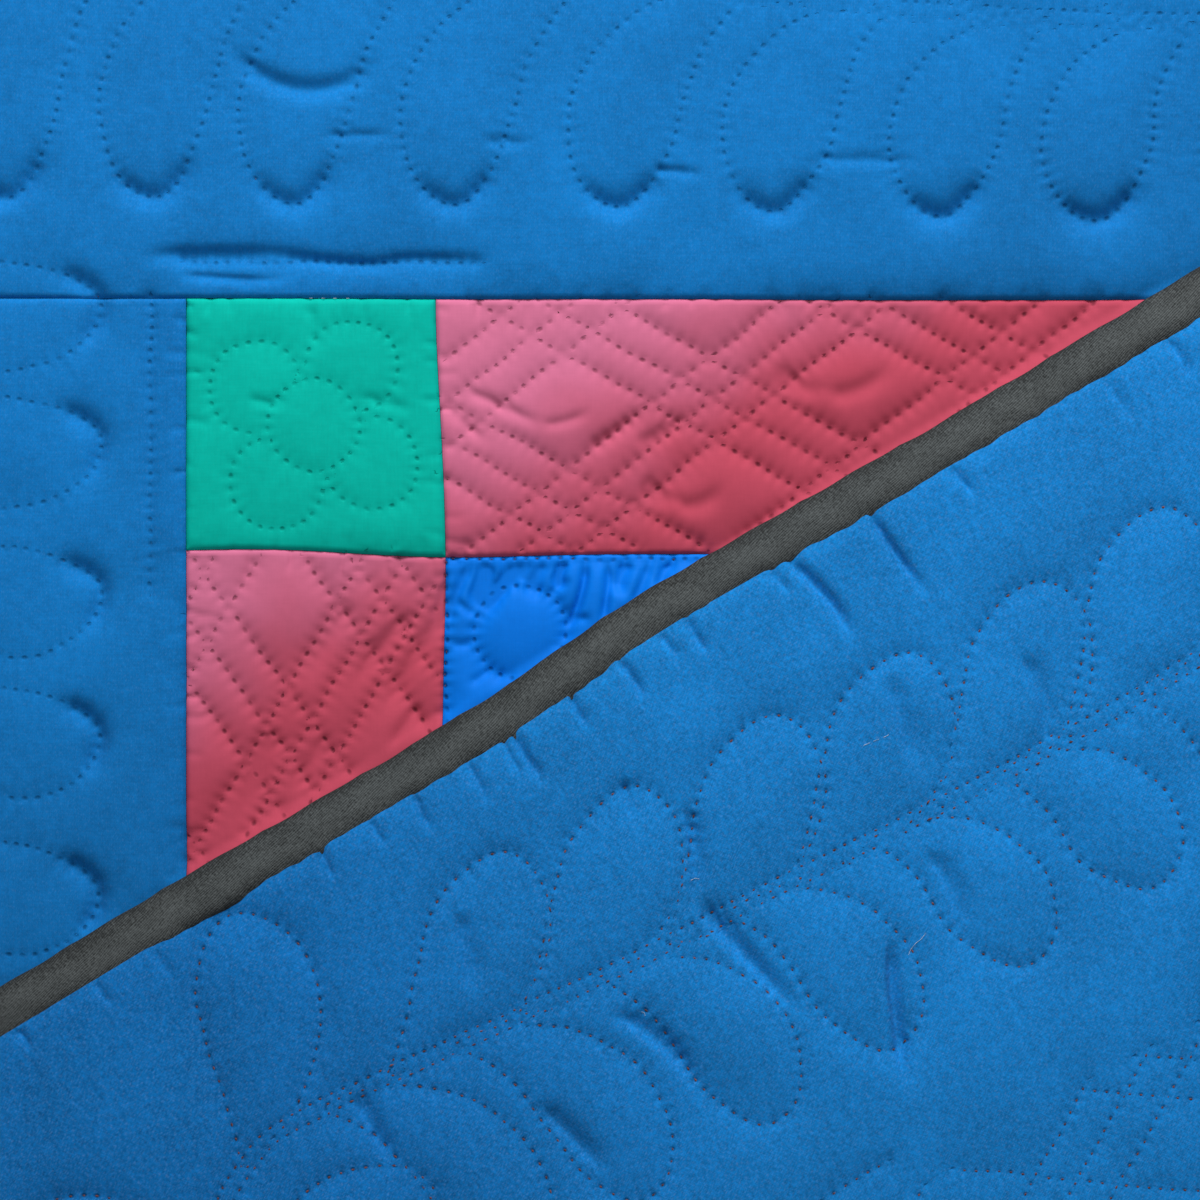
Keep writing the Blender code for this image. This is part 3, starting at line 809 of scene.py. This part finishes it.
# Where the seams were sewn a little off the line: place, and shift to the right and up
SEAM_PULLS = [
    ((-0.1588, 0.2222), (-0.0014, -0.0002)),
    ((-0.1588, 0.1588), (0.0010, -0.0010)),
    ((-0.2050, 0.1588), (0.0000, 0.0011)),
    ((-0.1588, 0.1170), (0.0002, 0.0000)),
    ((0.1588, 0.1588), (-0.0008, 0.0009)),
    ((0.1588, -0.1588), (0.0009, -0.0006)),
    ((-0.1588, -0.1588), (0.0007, 0.0011)),
    ((-0.0200, -0.2222), (0.0004, 0.0010)),
    ((-0.2222, 0.0300), (0.0009, 0.0000)),
]
# Wrinkles beside the quilting: start, end, bow, half width and depth
FRONT_CREASES = [
    (-0.2330, 0.2318, -0.1880, 0.2332, 0.0011, 0.0020, 0.0012),
    (-0.2010, 0.2326, -0.1610, 0.2310, -0.0007, 0.0016, 0.0009),
    (-0.1740, 0.2314, -0.1450, 0.2322, 0.0006, 0.0013, 0.0007),
    (-0.2240, 0.2276, -0.1950, 0.2273, -0.0004, 0.0012, 0.0009),
    (-0.2120, 0.2828, -0.1690, 0.2840, -0.0088, 0.0026, 0.0016),
    (-0.1060, 0.2538, -0.0925, 0.2534, 0.0004, 0.0013, 0.0008),
    (-0.0680, 0.2560, -0.0360, 0.2568, 0.0009, 0.0016, 0.0006),
    (-0.1880, 0.2618, -0.1690, 0.2630, 0.0004, 0.0013, 0.0006),
    (-0.1480, 0.2610, -0.1340, 0.2618, -0.0004, 0.0013, 0.0006),
    (-0.1535, 0.1990, -0.1310, 0.1896, 0.0006, 0.0016, 0.0008),
    (-0.1335, 0.1900, -0.1205, 0.1955, -0.0006, 0.0015, 0.0006),
    (-0.1590, 0.1955, -0.1450, 0.1850, 0.0004, 0.0019, 0.0007),
    (-0.1220, 0.1840, -0.1065, 0.1955, 0.0004, 0.0019, 0.0008),
    (-0.1095, 0.1850, -0.0960, 0.1945, 0.0005, 0.0021, 0.0009),
    (-0.1090, 0.1775, -0.0985, 0.1705, -0.0006, 0.0026, 0.0009),
    (-0.1005, 0.1700, -0.0870, 0.1760, -0.0008, 0.0026, 0.0010),
    (-0.0760, 0.2055, -0.0610, 0.1980, -0.0008, 0.0026, 0.0009),
    (-0.0630, 0.1975, -0.0440, 0.2070, -0.0010, 0.0026, 0.0009),
    (-0.1916, 0.2205, -0.1895, 0.2080, 0.0004, 0.0016, 0.0005),
    (-0.1800, 0.1972, -0.1640, 0.1940, 0.0006, 0.0014, 0.0005),
    (-0.2070, 0.1965, -0.1950, 0.1968, -0.0003, 0.0014, 0.0005),
    (-0.2010, 0.1150, -0.2115, 0.0880, 0.0010, 0.0030, 0.0014),
    (-0.1820, 0.1480, -0.1940, 0.1240, 0.0010, 0.0024, 0.0010),
    (-0.1660, 0.1445, -0.1825, 0.1215, -0.0008, 0.0022, 0.0012),
    (-0.1590, 0.1445, -0.1760, 0.1150, 0.0008, 0.0024, 0.0013),
    (-0.1880, 0.1130, -0.1975, 0.0970, 0.0006, 0.0022, 0.0009),
    (-0.1640, 0.1210, -0.1720, 0.1080, -0.0004, 0.0018, 0.0008),
]
# Painted light: each cloth of the top turns to its lit colour towards the upper left, the rose to a painted
# whitish sheen. Slope in x and y, where the lit colour ends and where the plain colour starts.
TOP_PAINTED_LIGHT = (0.5, -0.8, -0.236, -0.186)
BORDER_BLUE = (0.003, 0.138, 0.402)
LIT_BORDER_BLUE = (0.003, 0.155, 0.452)
BAR_ROSE = (0.440, 0.057, 0.096)
SHEEN_LIT_ROSE = (0.570, 0.148, 0.265)
CORNER_GREEN = (0.001, 0.370, 0.280)
LIT_CORNER_GREEN = (0.001, 0.410, 0.328)
MIDDLE_BLUE = (0.001, 0.160, 0.680)


def seam_shift(points):
    shift = np.zeros(points.shape)
    for at, pull in SEAM_PULLS:
        near = np.exp(-((points - at) ** 2).sum(axis=1) / SEAM_PULL_REACH**2)
        shift += near[:, None] * pull
    return shift


def seam_distance(points):
    """Distance to the nearest seam: long seams under the top border, short ones between them."""
    x, y = np.abs(points).T
    long_seams = np.minimum(np.abs(y - BAR_OUTER), np.where(x < BAR_OUTER, np.abs(y - BAR_INNER), SIDE))
    short_seams = np.minimum(np.abs(x - BAR_OUTER), np.abs(x - BAR_INNER))
    return np.minimum(long_seams, np.where(y < BAR_OUTER, short_seams, SIDE))


def front_offset(points, places, creases):
    """How far the top lies from the middle sheet. Points are on the pieced top, places after its seams'
    small shifts."""
    signed, stitches, pull, _ = nearest_mark(places)
    raised = read_off(front_relief, places)
    raised *= (1 + PUFF_GAIN) / (1 + PUFF_GAIN * raised)
    raised *= 1 - SEAM_SINK * np.exp(-seam_distance(points) / SEAM_REACH)
    edge = HALF_SIDE - BINDING_WIDTH - np.abs(points).max(axis=1)
    offset = FRONT_GROOVE + (HALF_THICK - FRONT_GROOVE) * raised
    offset -= HEAD_DROP * pull * np.exp(-((signed / HEAD_REACH) ** 2))
    in_x, in_y, lit_end, unlit_start = TOP_PAINTED_LIGHT
    firm = smooth_step((places @ [in_x, in_y] - lit_end) / (unlit_start - lit_end))
    offset -= (DEEPER_GROOVES * firm - SHALLOWER_GROOVES) * (1 - raised)
    offset -= dimpled(signed, stitches, FRONT_DIP) * (0.55 + 0.45 * firm)
    offset -= creased(places, creases, 0)
    offset += sum(height * unevenness(places, size) for height, size in FRONT_RIPPLES)
    offset -= FRONT_HEM_DROP * np.exp(-((edge + TUCK).clip(0) / HEM_REACH))
    offset = FRONT_LOWEST + np.logaddexp(0, (offset - FRONT_LOWEST) / LOWEST_EASE) * LOWEST_EASE
    shown = smooth_step(seen_from_above(places, 1) / SHOWN_BLEND + 0.5) * (across_fold(places) < -ARC_HALF)
    return HIDDEN_HALF_THICK + (np.minimum(offset, HALF_THICK) - HIDDEN_HALF_THICK) * shown


def patch(name, low, high, look):
    """One patch of the top, from its low to its high corner, with its edges rolled into the seams."""
    low, high = np.array(low), np.array(high)
    inner_low = np.where(low > -bound, low + PATCH_GAP, low - TUCK)
    inner_high = np.where(high < bound, high - PATCH_GAP, high + TUCK)
    reached_low, reached_high = low - CREASE_MARGIN, high + CREASE_MARGIN
    nearby = [c for c in top_creases if ((reached_low < c[2:4]) & (c[2:4] < reached_high)).all()]
    mesh = flat_cloth(inner_low, inner_high, 1, SEEN_CELL / 4, nearby)
    points = np.array([v.co[:2] for v in mesh.verts])
    places = points + seam_shift(points)
    offset = front_offset(points, places, nearby)
    rim = np.minimum(points - inner_low, inner_high - points).min(axis=1)
    offset -= EDGE_ROLL * (1 - smooth_step(rim / ROLL_WIDTH)) ** 1.5
    piece = lay_cloth(name, mesh, places, offset, in_fine_view(places))
    piece.data.materials.append(look)
    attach(piece, "root")
    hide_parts("quilt")


def drawn_on_front(points, pull, line):
    """The share that each line draws in: little along a feather, all at its head, some in a rosette."""
    x, y = np.abs(points).T
    in_corner = (np.minimum(x, y) > BAR_INNER) & (np.maximum(x, y) < BAR_OUTER)
    return np.where(line < vine_count, 0.4 + 0.6 * pull, np.where(in_corner, 0.6, 1.0))


front_relief = puffed(FRONT_PUFF_WIDTH, drawn_on_front)
top_creases = list(FRONT_CREASES)
for turn in range(4):
    c, s = round(math.cos(turn * math.pi / 2)), round(math.sin(turn * math.pi / 2))
    outward = np.array([c, s])
    beside = np.array([-s, c])
    for seam, reach_along in ((bound, bound), (BAR_OUTER, BAR_OUTER), (BAR_INNER, BAR_OUTER)):
        start, end = seam * outward - reach_along * beside, seam * outward + reach_along * beside
        seed = 100 + 10 * turn + round(100 * seam)
        top_creases += pucker_row(
            start, end, -outward, spacing=0.0075, length=0.0075, width=0.0009, depth=0.00038, seed=seed
        )
        if seam != bound:
            seed += 500
            top_creases += pucker_row(
                start, end, outward, spacing=0.009, length=0.006, width=0.0009, depth=0.00032, seed=seed
            )
level = BAR_INNER - BELOW_SEAM
start, end = (-BAR_INNER, level), (BAR_INNER, level)
top_creases += pucker_row(
    start, end, (-0.25, -1), spacing=0.0052, length=0.015, width=0.0016, depth=0.0022, seed=7
)
eye = np.array([-1, 1]) * (BAR_INNER - CORNER_RING_INSET)
for turn in np.linspace(0, 2 * math.pi, RING_CREASES, endpoint=False):
    outward = np.array([math.cos(turn + 0.2), math.sin(turn + 0.2)])
    start, end = (eye + reach_out * outward for reach_out in RING_CREASE_ENDS)
    top_creases.append((*start, *end, *RING_CREASE_SIZE))

border_cotton = plain_cotton(
    "border_cotton", BORDER_BLUE, LIT_BORDER_BLUE, TOP_PAINTED_LIGHT,
    weave=0.2, fuzz=0.22, mottle=0.35, hole_shade=0.45,
    roughness=0.85, sheen=0.02, specular=0.1,
)
rose_cotton = plain_cotton(
    "rose_cotton", BAR_ROSE, SHEEN_LIT_ROSE, TOP_PAINTED_LIGHT,
    weave=0.06, fuzz=0.02, mottle=0.12, hole_shade=0.25,
    roughness=0.8, sheen=0.0, specular=0.1,
)
green_cotton = plain_cotton(
    "green_cotton", CORNER_GREEN, LIT_CORNER_GREEN, TOP_PAINTED_LIGHT,
    weave=0.12, fuzz=0.03, mottle=0.2, hole_shade=0.4,
    roughness=0.8, sheen=0.0, specular=0.05,
)
blue_sateen = plain_cotton(
    "bright_blue_sateen", MIDDLE_BLUE, MIDDLE_BLUE, TOP_PAINTED_LIGHT,
    weave=0.08, fuzz=0.02, mottle=0.12, hole_shade=0.3,
    roughness=0.6, sheen=0.0, specular=0.06,
)

patch("border_top", (-bound, BAR_OUTER), (bound, bound), border_cotton)
patch("border_bottom", (-bound, -bound), (bound, -BAR_OUTER), border_cotton)
patch("border_left", (-bound, -BAR_OUTER), (-BAR_OUTER, BAR_OUTER), border_cotton)
patch("border_right", (BAR_OUTER, -BAR_OUTER), (bound, BAR_OUTER), border_cotton)
patch("bar_top", (-BAR_INNER, BAR_INNER), (BAR_INNER, BAR_OUTER), rose_cotton)
patch("bar_bottom", (-BAR_INNER, -BAR_OUTER), (BAR_INNER, -BAR_INNER), rose_cotton)
patch("bar_left", (-BAR_OUTER, -BAR_INNER), (-BAR_INNER, BAR_INNER), rose_cotton)
patch("bar_right", (BAR_INNER, -BAR_INNER), (BAR_OUTER, BAR_INNER), rose_cotton)
for x_name, x_side in (("left", -1), ("right", 1)):
    for y_name, y_side in (("top", 1), ("bottom", -1)):
        x_low, x_high = sorted((x_side * BAR_INNER, x_side * BAR_OUTER))
        y_low, y_high = sorted((y_side * BAR_INNER, y_side * BAR_OUTER))
        patch(f"corner_{y_name}_{x_name}", (x_low, y_low), (x_high, y_high), green_cotton)
patch("middle", (-BAR_INNER, -BAR_INNER), (BAR_INNER, BAR_INNER), blue_sateen)


# The binding, four strips of charcoal twill folded over the quilt's edge and sewn down on both faces, so
# that each makes a full round roll. Its sewn edges are a little uneven, with a small notch at some of
# the blind stitches.
BINDING_SEGMENTS = 36
BINDING_FINE = 0.0009
BINDING_COARSE = 0.0026
BINDING_FULLNESS = 0.5
OPEN_INSIDE_DEG = 12
FACE_RUN = BINDING_WIDTH * 1.12
CREST = FACE_RUN / 2
ROLL_RADIUS = 0.008
ROLL_SUNK = 0.0003
SEAM_OVERLAP = 0.0003
BUTT_GAP = 0.0003
OUTER_INSET = 0.0001
ROUNDED_END = 0.0022
FLATTEST = 0.04
# Height and run of the waves along the edge, and how far the next strip's waves are shifted
EDGE_WAVES = [(0.00022, 0.0083, 1), (0.00018, 0.0031, 2)]
INNER_WAVE_SHARE = 1.6
WIDE_PLACE = -0.147
WIDE_REACH = 0.016
WIDER_BY = 0.0010
NOTCH_STEPS = (0.004, 0.013)
NOTCH_DEPTHS = (0.0001, 0.0004)
NOTCH_REACH = 0.0011
RUMPLES = [(0.00010, 0.005), (0.00016, 0.014)]
DRAG_HEIGHT = 0.00014
DRAG_RUN = 0.0011
DRAG_SWING = 0.02
TWILL_PITCH = 0.00056
TWILL_TURN = math.radians(-17)
CHARCOAL = (0.047, 0.053, 0.054)


def twill():
    """Charcoal twill: fine slanting ribs, fibres along them, paler wear in patches, and a painted
    highlight along the middle of each face of the roll, with painted shade towards its edges.
    """
    finish = Finish("charcoal_twill")
    _, across, _ = finish.parts(finish.turned(TWILL_TURN))
    wander = finish.noise((0.006, 0.003), 2.0) * 0.0009
    rib = (across + wander) * (2 * math.pi / TWILL_PITCH)
    ribs = rib.math("SINE", rib) * 0.5 + 0.5
    fibres = finish.noise((0.0018, 0.0003), 2.0, TWILL_TURN) - 0.5
    speckle = finish.noise((0.0006, 0.0006), 3.0) - 0.5
    patches = finish.noise((0.012, 0.006), 2.0) - 0.5
    crossing = finish.noise((0.0003, 0.0018), 1.0, TWILL_TURN) - 0.5
    _, around, _ = finish.parts(finish.place)
    # Painted highlight: lighter along the middle of each face of the roll, painted shade towards both edges.
    from_crest = (around / CREST) ** 2
    painted_crest_light = 1 - ((from_crest**0.5) - 1.0) ** 2
    tone = ribs * 0.35 + fibres * 1.0 + crossing * 1.0 + speckle * 1.0 + patches * 0.5 + painted_crest_light * 0.6 - 0.12
    body = finish.mixed(toned(CHARCOAL, 0.35), toned(CHARCOAL, 2.1), tone.between(-0.1, 1.1))
    worn_places = finish.noise((0.02, 0.006)).between(0.5, 0.65)
    wear = finish.noise((0.0012, 0.0006), 2.0).between(0.7, 0.8) * worn_places
    body = finish.mixed(body, toned(CHARCOAL, 4.0), wear * 0.5)
    height = ribs * 0.00007 + fibres * 0.00008 + speckle * 0.00008
    return finish.surface(body, height, 0.75, 0.02, 0.15)


def binding(node, half_length, side_axis, side, fine_run, look, seed):
    """One strip, from a tube opened along its inside, pressed into a full roll over the quilt's edge."""
    name = node + "_cloth"
    rng = np.random.default_rng(seed)
    fine_low, fine_high = fine_run
    stops = np.array([-half_length, fine_low, fine_high, half_length])
    steps = np.diff(stops) / [BINDING_COARSE, BINDING_FINE, BINDING_COARSE]
    total = math.ceil(steps.sum())
    mesh = bmesh.new()
    bmesh.ops.create_cone(mesh, cap_ends=True, segments=BINDING_SEGMENTS, radius1=1, radius2=1, depth=1)
    long_edges = [e for e in mesh.edges if abs(e.verts[0].co.z - e.verts[1].co.z) > 0.5]
    bmesh.ops.subdivide_edges(mesh, edges=long_edges, cuts=total - 1, use_grid_fill=True)
    open_cos = -math.cos(math.radians(OPEN_INSIDE_DEG))
    inside = [f for f in mesh.faces if len(f.verts) == 4 and f.calc_center_median().x < open_cos]
    bmesh.ops.delete(mesh, geom=inside, context="FACES")
    bmesh.ops.triangulate(mesh, faces=[f for f in mesh.faces if len(f.verts) > 4])

    raw = np.array([v.co for v in mesh.verts])
    level = np.interp((raw[:, 2] + 0.5) * steps.sum(), np.concatenate([[0], np.cumsum(steps)]), stops)
    angle = np.arctan2(raw[:, 1], raw[:, 0])
    across = (1 - np.cos(angle)) / 2
    lift = np.sign(np.sin(angle)) * np.abs(np.sin(angle)) ** (2 * BINDING_FULLNESS)
    rim = half_length - np.abs(level)
    lift *= np.sqrt(1 - (1 - np.clip(rim / ROUNDED_END, 0, 1)) ** 2) * (1 - FLATTEST) + FLATTEST

    wave = sum(size * np.sin(level / run + shift * seed) for size, run, shift in EDGE_WAVES)
    width = BINDING_WIDTH + SEAM_OVERLAP + wave * across * INNER_WAVE_SHARE
    width += WIDER_BY * np.exp(-(((level - WIDE_PLACE) / WIDE_REACH) ** 2))
    at = -half_length
    notch = np.zeros(len(raw))
    while at < half_length:
        at += rng.uniform(*NOTCH_STEPS)
        depth, face = rng.uniform(*NOTCH_DEPTHS), rng.choice([-1, 1])
        notch += depth * np.exp(-(((level - at) / NOTCH_REACH) ** 2)) * (np.sign(raw[:, 1]) == face)
    width -= notch * smooth_step((across - 0.5) / 0.5)
    surface = np.column_stack([level, angle * ROLL_RADIUS])
    rumple = sum(rise * unevenness(surface, size) for rise, size in RUMPLES)
    drag = DRAG_HEIGHT * np.sin(level / DRAG_RUN + 3 * np.sin(level / DRAG_SWING))
    drag *= smooth_step((across - 0.45) / 0.5)
    height = lift * (HALF_THICK - ROLL_SUNK) + np.sign(lift) * (rumple + drag) * np.abs(lift)
    outer_edge = HALF_SIDE - OUTER_INSET - np.abs(wave) * (1 - across)
    depth_in = outer_edge - across * width

    flat = np.zeros((len(raw), 2))
    flat[:, side_axis] = side * depth_in
    flat[:, 1 - side_axis] = level
    data = bpy.data.meshes.new(name)
    placed = folded(flat, height)
    for vertex, co in zip(mesh.verts, placed):
        vertex.co = co
    bmesh.ops.recalc_face_normals(mesh, faces=mesh.faces[:])
    mesh.to_mesh(data)
    mesh.free()
    corner = np.zeros(len(data.loops), int)
    data.loops.foreach_get("vertex_index", corner)
    around = np.column_stack([level, np.sign(raw[:, 1]) * across * FACE_RUN])
    data.uv_layers.new(name="cut").data.foreach_set("uv", around[corner].ravel())
    data.materials.append(look)
    data.shade_smooth()
    piece = placed_object(name, data)
    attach(piece, "root")
    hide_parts(node)


charcoal_twill = twill()
butt = bound - BUTT_GAP
binding("binding_top", HALF_SIDE, 1, 1, (-0.02, 0.02), charcoal_twill, seed=1)
binding("binding_bottom", HALF_SIDE, 1, -1, (-0.02, 0.02), charcoal_twill, seed=2)
binding("binding_left", butt, 0, -1, (-0.02, 0.02), charcoal_twill, seed=3)
binding("binding_right", butt, 0, 1, (-0.275, -0.012), charcoal_twill, seed=4)


# The quilting stitches, running stitches of dark brown cotton thread through all the layers, eight or
# nine to the inch. Each one that shows lies in the dip that it has pulled into the cloth.
THREAD_BROWN = (0.100, 0.036, 0.034)
STITCH_SPACE = 0.0014
HEADING_SPREAD = 0.10
EDGE_CLEARANCE = 0.001
COVER_CLEARANCE = 0.0005
STITCH_LENGTHS = (0.8, 1.2)
STITCH_WIDTHS = (0.85, 1.15)
STITCH_FLATNESS = 0.8
FELT_CREASE = 0.0004


def stitch_places(side, rng):
    """Centre and direction of every stitch on one face, leaving out those that fall on another."""
    taken, centres, headings = {}, [], []
    for points, along, stitches, _ in marked:
        for wanted in np.arange(0.5, stitches[-1], 1.0):
            centre = np.array([np.interp(wanted, stitches, points[:, k]) for k in (0, 1)])
            if np.abs(centre).max() > bound - EDGE_CLEARANCE:
                continue
            cell = tuple(np.floor(centre / STITCH_SPACE).astype(int))
            around = [taken.get((cell[0] + i, cell[1] + j)) for i in (-1, 0, 1) for j in (-1, 0, 1)]
            if any(other is not None and np.linalg.norm(other - centre) < STITCH_SPACE for other in around):
                continue
            taken[cell] = centre
            centres.append(centre)
            headings.append([np.interp(wanted, stitches, along[:, k]) for k in (0, 1)])
    centres, headings = np.array(centres), np.array(headings)
    angle = np.arctan2(headings[:, 1], headings[:, 0]) + rng.normal(0, HEADING_SPREAD, len(centres))
    if side > 0:
        shown = seen_from_above(centres, 1) > COVER_CLEARANCE
        centres, angle = centres[shown], angle[shown]
    return centres, np.column_stack([np.cos(angle), np.sin(angle)])


def stitching(name, side, offset_of, look, length, width, sunk, seed):
    """All the stitches of one face, each a small spindle of thread, copied from one and laid in place."""
    rng = np.random.default_rng(seed)
    centres, along = stitch_places(side, rng)
    mesh = bmesh.new()
    bmesh.ops.create_uvsphere(mesh, u_segments=6, v_segments=2, radius=1)
    shape = np.array([v.co for v in mesh.verts])
    single = bpy.data.meshes.new("one_stitch")
    mesh.to_mesh(single)
    mesh.free()
    mesh = bmesh.new()
    mesh.from_mesh(single)
    while len(mesh.verts) < len(centres) * len(shape):
        bmesh.ops.duplicate(mesh, geom=mesh.verts[:] + mesh.edges[:] + mesh.faces[:])
    bmesh.ops.delete(mesh, geom=mesh.verts[len(centres) * len(shape) :], context="VERTS")
    across = np.column_stack([-along[:, 1], along[:, 0]])
    half_length = length / 2 * rng.uniform(*STITCH_LENGTHS, len(centres))
    half_width = width / 2 * rng.uniform(*STITCH_WIDTHS, len(centres))
    flat = (
        centres[:, None]
        + (shape[:, 2] * half_length[:, None])[..., None] * along[:, None]
        + (shape[:, 0] * half_width[:, None])[..., None] * across[:, None]
    ).reshape(-1, 2)
    rise = (shape[:, 1] * half_width[:, None] * STITCH_FLATNESS - sunk).ravel()
    level = np.repeat(offset_of(centres), len(shape))
    data = bpy.data.meshes.new(name)
    mesh.to_mesh(data)
    mesh.free()
    data.vertices.foreach_set("co", folded(flat, side * (level + rise)).ravel())
    data.materials.append(look)
    data.shade_smooth()
    data.update()
    tidy = bmesh.new()
    tidy.from_mesh(data)
    bmesh.ops.recalc_face_normals(tidy, faces=tidy.faces[:])
    tidy.to_mesh(data)
    tidy.free()
    piece = placed_object(name, data)
    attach(piece, "root")


def thread():
    """Dull cotton thread, a little lighter where it is worn."""
    finish = Finish("brown_cotton_thread")
    finish.place = finish.node("ShaderNodeTexCoord").outputs["Object"]
    worn = finish.noise((0.0008, 0.0008), 2.0)
    body = finish.mixed(toned(THREAD_BROWN, 0.7), toned(THREAD_BROWN, 1.9), worn.between(0.35, 0.7))
    return finish.surface(body, worn * 0.00004, 0.85, 0.1, 0.2)


def front_level(points):
    """The height of the top at each stitch, with the creases that are deep enough to move one."""
    return front_offset(points, points, [c for c in top_creases if c[6] > FELT_CREASE])


brown_thread = thread()
stitching("stitches_front", 1, front_level, brown_thread, length=0.0008, width=0.0003, sunk=0.00014, seed=11)
stitching("stitches_back", -1, back_offset, brown_thread, length=0.0015, width=0.00056, sunk=0.0, seed=12)


# Lint caught on the cloth, and a few white machine stitches that show in the seam under the top border.
# Each is a fine fibre through a few places: first on the back, then on the front.
LINT_THICK = 0.0001
BACK_LINT = [
    ((0.2741, -0.1123), (0.2734, -0.1140), (0.2732, -0.1157), (0.2724, -0.1176), (0.2716, -0.1187)),
    ((0.3212, -0.1016), (0.3211, -0.1008), (0.3210, -0.1000)),
    ((0.3209, -0.0990), (0.3208, -0.0983), (0.3206, -0.0976)),
    ((0.3205, -0.0964), (0.3204, -0.0956), (0.3204, -0.0949)),
    ((0.3143, -0.1533), (0.3150, -0.1541), (0.3152, -0.1552)),
    ((0.2944, -0.1825), (0.2938, -0.1820), (0.2930, -0.1822)),
]
SEAM_STITCHES = (-0.1908, -0.1876, -0.1846, -0.1812)
SEAM_STITCH_HALF = 0.0004
SEAM_STITCH_SUNK = 0.0001


def fibres(name, lines, side, level_of):
    curve = bpy.data.curves.new(name, "CURVE")
    curve.dimensions = "3D"
    curve.bevel_depth = LINT_THICK / 2
    curve.bevel_resolution = 1
    for line in lines:
        flat = np.array(line)
        placed = folded(flat, side * (level_of(flat) + LINT_THICK * 0.6))
        spline = curve.splines.new("POLY")
        spline.points.add(len(placed) - 1)
        for point, co in zip(spline.points, placed):
            point.co = (*co, 1)
    drawn = placed_object(name + "_curve", curve)
    bpy.context.view_layer.update()
    data = bpy.data.meshes.new_from_object(drawn)
    bpy.data.objects.remove(drawn)
    data.name = name
    data.materials.clear()
    data.materials.append(lint_white)
    piece = placed_object(name, data)
    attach(piece, "root")


finish = Finish("lint_white")
finish.place = finish.node("ShaderNodeTexCoord").outputs["Object"]
worn = finish.noise((0.0006, 0.0006), 2.0)
body = finish.mixed((0.25, 0.38, 0.50, 1.0), (0.62, 0.70, 0.78, 1.0), worn.between(0.3, 0.7))
lint_white = finish.surface(body, worn * 0.00003, 0.9, 0.0, 0.1)
seam_lines = []
for x in SEAM_STITCHES:
    centre = np.array([(x, BAR_OUTER)]) + seam_shift(np.array([(x, BAR_OUTER)]))
    seam_lines.append([(centre[0, 0] + k * SEAM_STITCH_HALF, centre[0, 1]) for k in (-1, 0, 1)])
fibres("lint", BACK_LINT, -1, back_offset)
fibres("seam_stitches", seam_lines, 1, lambda points: front_level(points) - SEAM_STITCH_SUNK)


# A pale plain surface for the quilt to lie on, with soft studio light from the upper left and a little
# from all round. The camera looks straight down, as the photograph does.
FLOOR_HALF = 2.0
LENS = 85.0
SENSOR = 36.0
MIDDLE_HEIGHT = 0.008

floor_mesh = bmesh.new()
bmesh.ops.create_grid(floor_mesh, x_segments=4, y_segments=4, size=FLOOR_HALF)
floor_data = bpy.data.meshes.new("floor")
floor_mesh.to_mesh(floor_data)
floor_mesh.free()
floor = placed_object("floor", floor_data)
floor_paint = bpy.data.materials.new("pale_floor")
floor_paint.use_nodes = True
floor_paint.node_tree.nodes["Principled BSDF"].inputs["Base Color"].default_value = (0.60, 0.60, 0.59, 1.0)
floor_paint.node_tree.nodes["Principled BSDF"].inputs["Roughness"].default_value = 0.9
floor_data.materials.append(floor_paint)

target = Vector((*VIEW_CENTRE, MIDDLE_HEIGHT))


def lamp(name, heading_deg, rise_deg, distance, size, power):
    heading, rise = math.radians(heading_deg), math.radians(rise_deg)
    way = Vector((math.cos(heading) * math.cos(rise), math.sin(heading) * math.cos(rise), math.sin(rise)))
    data = bpy.data.lights.new(name, "AREA")
    data.size = size
    data.energy = power
    made = placed_object(name, data)
    made.location = target + way * distance
    made.rotation_euler = (-way).to_track_quat("-Z", "Y").to_euler()


lamp("key", heading_deg=86, rise_deg=30, distance=1.15, size=0.45, power=16.5)
lamp("window", heading_deg=108, rise_deg=82.5, distance=1.5, size=0.6, power=4.6)
world = bpy.data.worlds.new("studio")
world.use_nodes = True
world.node_tree.nodes["Background"].inputs["Color"].default_value = (0.95, 0.97, 1.0, 1.0)
world.node_tree.nodes["Background"].inputs["Strength"].default_value = 0.17
bpy.context.scene.world = world
bpy.context.scene.view_settings.view_transform = "Standard"

camera_data = bpy.data.cameras.new("camera")
camera_data.lens = LENS
camera_data.sensor_width = SENSOR
camera = placed_object("camera", camera_data)
camera.location = target + Vector((0, 0, VIEW_SIDE * LENS / SENSOR))
bpy.context.scene.camera = camera
